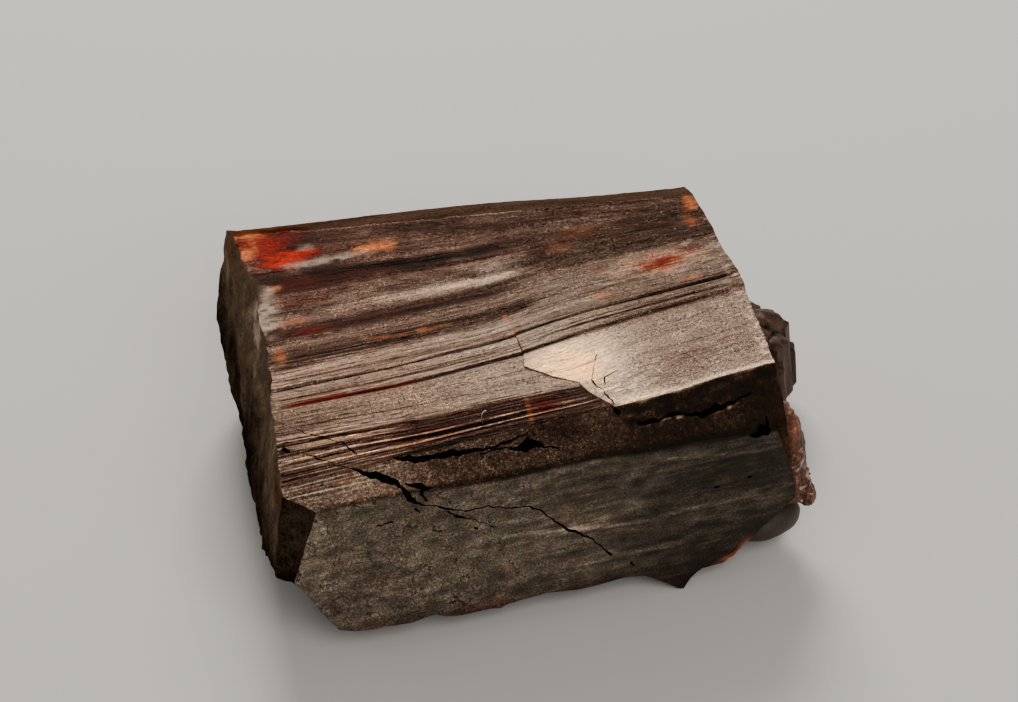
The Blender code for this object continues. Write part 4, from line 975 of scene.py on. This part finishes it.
COLUMNS = [  # x, y, radius, bottom and top
    (8.5, 2.7, 0.85, 0.5, 3.7), (9.1, 2.0, 0.95, 0.35, 4.25), (9.75, 1.5, 0.85, 0.45, 4.3),
    (10.35, 1.55, 0.52, 0.8, 3.55), (10.42, 0.75, 0.46, 0.9, 3.1), (9.75, 0.5, 0.85, 0.5, 3.8),
    (9.0, 0.7, 1.0, 0.3, 4.1), (9.45, -0.35, 0.75, 0.7, 3.2), (8.7, -0.7, 0.8, 0.5, 3.0)]
for number, column in enumerate(COLUMNS):
    column_crystal(*column, number)
pebble("low lump", (7.3, -6.9, 1.4), (1.5, 1.1, 0.75), 0.05, 91, growths, crystal_materials, LUMP, 4)


# ---- cracks and pits ------------------------------------------------------------------------------
# Every crack is cut by a jagged blade along its path, and every wide pit by a flat-sided punch.
# The cracks of the front face have paths at its own y, just outside it.
cuts = bpy.data.collections.new("cuts")


def facing(place):
    """The direction the surface faces at a place on the front, the top or the bevel."""
    if place[1] < -8.38:
        return Vector((0.0, -1.0, 0.0))
    if place[2] > 8.3:
        return Vector((0.0, -0.15, 1.0)).normalized()
    return Vector((0.0, -0.7, 0.71))


def blade(name, path, depth, jag=0.35, floor=0.0):
    """A jagged cutter whose ends run out to points.

    A path point is x, y, z and half-width.  The depth and the flat floor are in half-widths.
    """
    path = np.array(path, float)
    reach = np.concatenate([[0.0], np.cumsum(np.linalg.norm(np.diff(path[:, :3], axis=0), axis=1))])
    count = max(5, int(reach[-1] / 0.05))
    at = np.linspace(0.0, reach[-1], count)
    track = np.stack([np.interp(at, reach, column) for column in path.T], -1)
    shiver = lumps(at / 0.22, len(path), seed=96) + 0.5 * lumps(at / 0.09, len(path), seed=97)
    swell = 1.0 + (0.7 - 0.9 * floor) * lumps(at / (0.28 + 0.8 * floor), len(path), seed=98)
    swell = np.maximum(0.2, swell)
    calm = 0.9 if floor else 0.5
    number = np.arange(count)
    shake = [calm * lumps(at / 0.2, 5.0 * k, seed=95) + (1.0 - calm) * random_at(number, k, len(path), 95)
             for k in range(2)]
    points = []
    for i, (px, py, pz, half) in enumerate(track):
        up = facing((px, py, pz))
        onward = Vector(track[min(i + 1, count - 1), :3] - track[max(i - 1, 0), :3]).normalized()
        across = onward.cross(up).normalized()
        centre = Vector((px, py, pz)) + across * 0.035 * float(shiver[i])
        tip = 0.25 if i in (0, count - 1) else 1.0
        wide = (1.35 * half + 0.004) * tip * float(swell[i])
        deep = max(depth * half, 0.12) * tip
        far, near = 1.0 + jag * float(shake[0][i]), -1.0 + jag * float(shake[1][i])
        foot = floor + 0.02
        for off, drop in ((far, -0.1), (far, 0.01), (foot * far, deep),
                          (foot * near, deep), (near, 0.01), (near, -0.1)):
            points.append(centre + across * wide * off - up * drop)
    last = 6 * (count - 1)
    faces = tube_faces(count, 6) + [[5, 4, 3, 2, 1, 0], [last + k for k in range(6)]]
    return solid(name, points, faces, crystal_materials, PIT, cuts)


def punch(name, outline, depth):
    """A flat-sided cutter for a pit, a little wider than its outline and narrower at its floor."""
    shape = bmesh.new()
    middle = Vector(np.mean(outline, axis=0))
    up = facing(middle)
    for corner in outline:
        shape.verts.new(middle + (Vector(corner) - middle) * 1.12 + up * 0.12)
        shape.verts.new(middle + (Vector(corner) - middle) * 0.55 - up * depth)
    bmesh.ops.convex_hull(shape, input=shape.verts)
    shape.verts.index_update()
    points = [vert.co[:] for vert in shape.verts]
    faces = [[vert.index for vert in face.verts] for face in shape.faces]
    shape.free()
    return solid(name, points, faces, crystal_materials, PIT, cuts)


blade("front pit", [(-6.01, -7.12, 7.93, .01), (-5.65, -7.26, 7.86, .05), (-5.11, -7.41, 7.82, .1),
                    (-4.49, -7.48, 7.81, .08), (-3.83, -7.5, 7.85, .08), (-3.18, -7.58, 7.84, .065),
                    (-2.71, -7.62, 7.84, .045), (-2.09, -7.61, 7.9, .035), (-1.58, -7.56, 7.99, .02),
                    (-1.02, -7.49, 8.1, .014)], 1.5, jag=0.2, floor=0.5)
blade("pit edge", [(-2.97, -7.71, 7.75, .018), (-2.13, -7.72, 7.8, .018), (-1.76, -7.76, 7.8, .021)], 3.0)
punch("wedge pit", [(-1.7, -7.82, 7.72), (-1.44, -7.72, 7.86), (-1.15, -7.6, 8.01), (-0.8, -7.87, 7.7),
                    (-1.35, -7.97, 7.56)], 0.25)
blade("wedge left", [(-1.95, -7.78, 7.77, .02), (-1.65, -7.8, 7.75, .05), (-1.4, -7.88, 7.67, .05),
                     (-1.2, -7.93, 7.6, .02)], 2.0, floor=0.3)
blade("wedge right", [(-1.2, -7.66, 7.92, .03), (-1.0, -7.74, 7.85, .07), (-0.8, -7.9, 7.7, .05),
                      (-0.62, -7.92, 7.67, .02)], 2.0, floor=0.3)
blade("wedge tail", [(-0.8, -7.91, 7.69, .028), (-0.45, -7.97, 7.62, .021), (-0.16, -8.05, 7.51, .014)], 3.0)
blade("split pit", [(-7.83, -7.01, 7.9, .005), (-7.51, -7.15, 7.85, .012), (-7.25, -7.35, 7.75, .045),
                    (-6.93, -7.49, 7.68, .085), (-6.5, -7.72, 7.58, .098), (-6.07, -7.92, 7.45, .065),
                    (-5.95, -8.13, 7.29, .035), (-5.77, -8.35, 7.12, .071), (-5.66, -8.4, 6.86, .089),
                    (-5.52, -8.4, 6.67, .044), (-5.06, -8.41, 6.43, .027), (-4.6, -8.41, 6.23, .036),
                    (-4.14, -8.41, 5.99, .027), (-3.66, -8.41, 5.84, .021), (-2.93, -8.41, 5.84, .021),
                    (-2.47, -8.41, 5.65, .025), (-1.98, -8.41, 5.53, .025), (-1.46, -8.41, 5.42, .021),
                    (-1.11, -8.41, 5.17, .018), (-.77, -8.41, 4.75, .022), (-.44, -8.41, 4.31, .018),
                    (-.13, -8.41, 3.95, .034), (.12, -8.41, 3.83, .03), (.68, -8.41, 3.32, .018),
                    (1.05, -8.41, 2.76, .02), (1.35, -8.41, 2.33, .036)], 1.6, jag=0.25, floor=0.4)
blade("side split", [(-5.81, -8.02, 7.37, .018), (-5.52, -8.11, 7.31, .045), (-5.23, -8.22, 7.21, .065),
                     (-4.85, -8.3, 7.13, .036)], 1.6, floor=0.4)
blade("down split", [(-5.27, -8.28, 7.16, .044), (-5.22, -8.4, 6.94, .036), (-5.14, -8.4, 6.61, .018)], 2.5)
blade("left diagonal", [(-9.4, -4.8, 8.55, .02), (-9.2, -5.01, 8.51, .022), (-8.69, -5.46, 8.46, .024),
                        (-8.15, -5.8, 8.4, .024), (-7.83, -5.99, 8.34, .024), (-7.5, -6.3, 8.24, .018),
                        (-7.2, -6.75, 8.02, .015)], 4.0)
blade("lower diagonal", [(-9.04, -6.18, 8.2, .01), (-8.51, -6.6, 8.07, .014), (-8.2, -6.8, 8.0, .008),
                         (-8.05, -6.96, 7.95, .014), (-7.7, -7.06, 7.91, .012)], 3.0)
blade("second front crack", [(-4.44, -8.41, 6.03, .02), (-4.22, -8.41, 5.78, .025),
                             (-3.87, -8.41, 5.58, .025), (-3.52, -8.41, 5.4, .025),
                             (-3.12, -8.41, 5.06, .025), (-2.78, -8.41, 4.81, .015)], 3.0)
for dash in ([(-5.6, 6.46), (-5.43, 6.16)], [(-7.05, 6.0), (-6.72, 6.03), (-6.37, 6.02)],
             [(-3.54, 5.0), (-3.42, 4.87)], [(5.31, 4.5), (5.58, 4.5)], [(6.56, 4.67), (6.78, 4.64)],
             [(2.01, 1.86), (2.14, 1.58)]):
    blade("dash", [(dash_x, -8.41, dash_z, 0.022) for dash_x, dash_z in dash], 3.0)
blade("fork", [(2.2, -4.58, 8.65, .012), (1.93, -5.12, 8.63, .014), (1.82, -5.55, 8.62, .013),
               (1.61, -5.99, 8.61, .014), (1.71, -6.32, 8.6, .015), (1.92, -6.61, 8.58, .013),
               (1.99, -7.02, 8.56, .014), (2.09, -7.49, 8.53, .018), (2.1, -7.68, 8.4, .08),
               (2.24, -7.79, 8.24, .036)], 3.0)
blade("second fork", [(2.69, -5.77, 8.64, .01), (2.11, -5.97, 8.64, .014), (2.04, -6.39, 8.63, .012)], 3.0)
blade("edge crack", [(2.8, -7.82, 7.74, .035), (3.57, -7.84, 7.68, .055), (4.0, -7.78, 7.75, .06),
                     (4.43, -7.78, 7.72, .03), (4.83, -7.82, 7.58, .055), (5.2, -7.8, 7.56, .11),
                     (5.63, -7.76, 7.6, .08), (6.14, -7.72, 7.65, .055), (6.6, -7.64, 7.72, .05),
                     (7.13, -7.5, 7.82, .025)], 1.8, jag=0.6, floor=0.3)
blade("small crack", [(2.55, -8.08, 7.63, .036), (2.62, -8.19, 7.43, .045), (2.7, -8.22, 7.35, .036),
                      (2.84, -8.14, 7.51, .021)], 2.0)
punch("corner pit", [(7.1, -8.4, 6.5), (7.28, -8.36, 6.71), (7.48, -8.28, 6.9), (7.6, -8.36, 6.6),
                     (7.45, -8.4, 6.4)], 0.3)
blade("corner pit tail", [(6.75, -8.36, 6.55, .03), (7.1, -8.37, 6.55, .09), (7.4, -8.3, 6.8, .08),
                          (7.55, -8.1, 7.1, .03)], 1.6, jag=0.6, floor=0.4)
blade("crumbled corner", [(7.35, -7.62, 7.95, .03), (7.5, -7.75, 7.75, .08), (7.55, -7.95, 7.45, .05),
                          (7.7, -8.05, 7.2, .03)], 1.6, jag=0.6, floor=0.4)
blade("corner crack", [(7.75, -7.5, 8.05, .04), (7.72, -7.75, 7.7, .06), (7.82, -7.95, 7.3, .03)], 1.6,
      jag=0.6, floor=0.3)
blade("rim pit", [(-9.86, -5.14, 7.75, .07), (-9.7, -5.88, 8.29, .089), (-9.47, -5.99, 8.22, .036)], 2.0,
      floor=0.5)


# ---- joining and cutting ------------------------------------------------------------------------
# The growths are joined to the body and the cracks cut from it, so it stays one closed solid.
def refined(body, operation, group):
    """Join a whole group to a body, or cut it away; this solver is the one that is light enough."""
    bpy.context.scene.collection.children.link(group)
    step = body.modifiers.new("step", "BOOLEAN")
    step.operation = operation
    step.solver = "MANIFOLD"
    step.operand_type = "COLLECTION"
    step.collection = group
    baked(body)
    for tool in list(group.objects):
        bpy.data.objects.remove(tool)
    bpy.data.collections.remove(group)


refined(crystal, "UNION", growths)
refined(crystal, "DIFFERENCE", cuts)
crystal.data.shade_smooth()
crystal.data.set_sharp_from_angle(angle=math.radians(38.0))
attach(crystal, "root")
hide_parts("tantalite_crystal")


# ======== THE MATRIX CRUST ======================================================================
# What is left of the iron-stained rock the crystal grew in clings to its front right edge.
# Rounded knobs are melted into one lump and roughened, and pale grains are bedded in it.
def crust_stone():
    """Iron-stained matrix, as broken: brown with rusty patches and pinkish-white specks."""
    material, tree, place = new_material("iron-stained matrix")
    cloud = mottle(tree, place, 1.3, 4.0, 0.65)
    grain = mottle(tree, place, 6.0, 3.0, 0.7)
    brown = add(tree, "ValToRGB", {0: grain}, (
        (0.3, "1b0f0a"), (0.45, "3f261a"), (0.58, "683f2a"), (0.7, "9c6d52"), (0.78, "cbad9a")))

    # The top and the foot of the crust are rustier and have fewer specks than its middle.
    from_middle = add(tree, "Math", {0: add(tree, "SeparateXYZ", {0: place}).outputs["Z"], 1: 3.7},
                      operation="SUBTRACT")
    from_middle = add(tree, "Math", {0: from_middle}, operation="ABSOLUTE")
    ends = add(tree, "MapRange", {0: from_middle, 1: 0.7, 2: 1.8, 3: 0.0, 4: 0.08})
    rusty = add(tree, "Math", {0: cloud, 1: ends}, operation="ADD")
    rusty = add(tree, "MapRange", {0: rusty, 1: 0.54, 2: 0.68, 3: 0.0, 4: 0.75})
    specks = add(tree, "Math", {0: mottle(tree, place, 2.6, 3.0, 0.6), 1: ends}, operation="SUBTRACT")
    specks = add(tree, "MapRange", {0: specks, 1: 0.56, 2: 0.64, 3: 0.0, 4: 0.8})
    colour = add(tree, "Mix", {0: rusty, 6: brown, 7: tint("854628")}, data_type="RGBA")
    return surfaced(material, {
        "Base Color": add(tree, "Mix", {0: specks, 6: colour, 7: tint("c39c90")}, data_type="RGBA"),
        "Normal": add(tree, "Bump", {"Strength": 0.7, "Distance": 0.06 * MM, "Height": grain}),
        "Roughness": 0.5, "Specular IOR Level": 0.3})


matrix = crust_stone()
knobs = bpy.data.collections.new("knobs")
pebble("knob", (8.5, -6.5, 4.0), (0.72, 1.32, 2.15), 0.07, 101, knobs, [matrix], 0)
pebble("knob", (8.55, -6.8, 2.9), (0.76, 1.08, 1.0), 0.09, 105, knobs, [matrix], 0)
crust = pebble("crust", (8.98, -7.3, 2.55), (0.42, 0.6, 0.62), 0.09, 109, None, [matrix], 0)
refined(crust, "UNION", knobs)
melt = crust.modifiers.new("melt", "REMESH")
melt.mode = "VOXEL"
melt.voxel_size = 0.06 * MM
baked(crust)
skin = np.zeros(len(crust.data.vertices) * 3, np.float32)
outward = np.zeros_like(skin)
crust.data.vertices.foreach_get("co", skin)
crust.data.vertices.foreach_get("normal", outward)
skin = skin.reshape(-1, 3) / MM
bumps = 0.09 * lumps(*(skin / 0.45).T, seed=111) + 0.05 * lumps(*(skin / 0.2).T, seed=112)
bumps = bumps - 0.07 * (1.0 - 2.0 * np.abs(lumps(*(skin / 0.6).T, seed=113)))
skin = (skin + outward.reshape(-1, 3) * bumps[:, None]) * MM
crust.data.vertices.foreach_set("co", skin.astype(np.float32).ravel())
crust.data.update()
crust.data.shade_smooth()


# ---- pale grains bedded in the crust ------------------------------------------------------------
def pale_grain():
    """Grains of quartz or feldspar: pinkish white and translucent."""
    material, tree, place = new_material("pale matrix grains")
    colour = add(tree, "ValToRGB", {0: mottle(tree, place, 3.0)}, (
        (0.35, "3f281e"), (0.5, "7b5746"), (0.64, "c7aa9b")))
    return surfaced(material, {"Base Color": colour, "Roughness": 0.3, "Subsurface Weight": 0.15,
                               "Subsurface Radius": (0.3 * MM, 0.2 * MM, 0.15 * MM)})


def grain_tree(material):
    """Grains scattered over a surface, each turned and sized on its own."""
    tree = bpy.data.node_groups.new("bedded grains", "GeometryNodeTree")
    for name, way, kind in (("Surface", "INPUT", "Geometry"), ("Grains per area", "INPUT", "Float"),
                            ("Grain size", "INPUT", "Float"), ("Surface", "OUTPUT", "Geometry")):
        tree.interface.new_socket(name, in_out=way, socket_type="NodeSocket" + kind)
    surface, density, grain_size, _ = add(tree, "NodeGroupInput").outputs
    points = add(tree, "GeometryNodeDistributePointsOnFaces",
                 {"Mesh": surface, "Density": density, "Seed": 7})
    spin = add(tree, "FunctionNodeRandomValue", {1: (6.28, 6.28, 6.28), "Seed": 8},
               data_type="FLOAT_VECTOR")
    share = add(tree, "FunctionNodeRandomValue", {2: 0.35, 3: 1.0, "Seed": 9}, data_type="FLOAT")
    size = add(tree, "Math", {0: share, 1: grain_size}, operation="MULTIPLY")
    stone = add(tree, "GeometryNodeMeshIcoSphere", {"Radius": 1.0, "Subdivisions": 2})
    stone = add(tree, "GeometryNodeTransform", {"Geometry": stone, "Scale": (1.0, 0.75, 0.6)})
    grains = add(tree, "GeometryNodeInstanceOnPoints", {"Points": points, "Instance": stone,
                                                        "Rotation": spin, "Scale": size})
    grains = add(tree, "GeometryNodeRealizeInstances", {0: grains})
    grains = add(tree, "GeometryNodeSetMaterial", {"Geometry": grains, "Material": material})
    both = add(tree, "GeometryNodeJoinGeometry", {0: surface})
    tree.links.new(grains.outputs[0], both.inputs[0])
    add(tree, "NodeGroupOutput", {0: both})
    return tree


bedded = grain_tree(pale_grain())
scatter = crust.modifiers.new("grains", "NODES")
scatter.node_group = bedded
sockets = {item.name: item.identifier for item in bedded.interface.items_tree if item.in_out == "INPUT"}
scatter[sockets["Grains per area"]] = 3.0 / MM ** 2
scatter[sockets["Grain size"]] = 0.08 * MM
baked(crust)
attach(crust, "root")
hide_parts("matrix_crust")


# ======== A FIBRE OF LINT =======================================================================
# One curled fibre of white cotton, about half a millimetre long, lies loose on the shoulder.  It is
# a thin tube along a short curl.
def fibre():
    """A thin tube bent along a short curl."""
    material, _, _ = new_material("cotton lint")
    surfaced(material, {"Base Color": tint("e9e4dc"), "Roughness": 0.7})
    count, sides, radius = 30, 6, 0.014
    along_it = np.linspace(0.0, 1.0, count)
    share, curl_x, curl_y = np.array([(0.0, -2.34, -6.36), (0.3, -2.45, -6.42), (0.55, -2.54, -6.52),
                                      (0.8, -2.58, -6.64), (1.0, -2.56, -6.76)]).T
    z = 8.47 + 0.06 * (1.0 - along_it) - 0.18 * along_it + 0.12 * np.sin(along_it * 3.1)
    centre = np.stack([np.interp(along_it, share, curl_x), np.interp(along_it, share, curl_y), z], -1)
    points = []
    for middle in centre:
        for k in range(sides):
            a = 2.0 * math.pi * k / sides
            points.append(middle + radius * np.array((0.0, math.cos(a), math.sin(a))))
    last = (count - 1) * sides
    faces = tube_faces(count, sides) + [list(range(sides))[::-1], [last + k for k in range(sides)]]
    return solid("lint", points, faces, [material], 0)


lint = fibre()
lint.data.shade_smooth()
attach(lint, "root")


# ======== FLOOR, LIGHT AND CAMERA ================================================================
# A sheet of pale paper, a softbox behind and above the crystal for the sheen on its top, a soft fill
# from the front, and pale air all round.
paper, _, _ = new_material("pale paper")
surfaced(paper, {"Base Color": tint("e6e5e3"), "Roughness": 0.9})
half = 600.0
floor_corners = [(-half, -half, 0.0), (half, -half, 0.0), (half, half, 0.0), (-half, half, 0.0)]
floor = solid("floor", floor_corners, [[0, 1, 2, 3]], [paper], 0)

air = bpy.data.worlds.new("air")
air.use_nodes = True
glow = air.node_tree.nodes["Background"]
glow.inputs["Color"].default_value = tint("f4f1ec")
glow.inputs["Strength"].default_value = 0.28
bpy.context.scene.world = air

target = Vector((-0.7, -2.6, 8.0)) * MM


def softbox(name, direction, distance, size, power):
    """A warm square light that faces the crystal."""
    lamp = bpy.data.lights.new(name, "AREA")
    lamp.shape = "SQUARE"
    lamp.size = size * MM
    lamp.energy = power
    lamp.color = (1.0, 0.94, 0.87)
    made = bpy.data.objects.new(name, lamp)
    way = Vector(direction).normalized()
    made.location = target + way * distance * MM
    made.rotation_euler = way.to_track_quat("Z", "Y").to_euler()
    bpy.context.scene.collection.objects.link(made)
    return made


softbox("sheen", (0.13, 0.76, 0.62), 180.0, 80.0, 0.275)
softbox("fill", (0.15, -0.75, 0.65), 220.0, 120.0, 0.2)

turn = math.radians(-9.0)
rise_of_view = math.radians(38.0)
roll = math.radians(6.0)
distance = 155.0 * MM
back = Vector((math.sin(turn) * math.cos(rise_of_view), -math.cos(turn) * math.cos(rise_of_view),
               math.sin(rise_of_view)))
right = (-back).cross(Vector((0.0, 0.0, 1.0))).normalized()
upward = right.cross(-back)
rolled_right = right * math.cos(roll) - upward * math.sin(roll)
rolled_up = upward * math.cos(roll) + right * math.sin(roll)
lens = bpy.data.cameras.new("camera")
lens.lens = 150.0
lens.sensor_width = 36.0
lens.clip_start = 5.0 * MM
lens.clip_end = 10.0
camera = bpy.data.objects.new("camera", lens)
stand = Matrix((rolled_right, rolled_up, back)).transposed().to_4x4()
stand.translation = target + back * distance
camera.matrix_world = stand
bpy.context.scene.collection.objects.link(camera)
bpy.context.scene.camera = camera
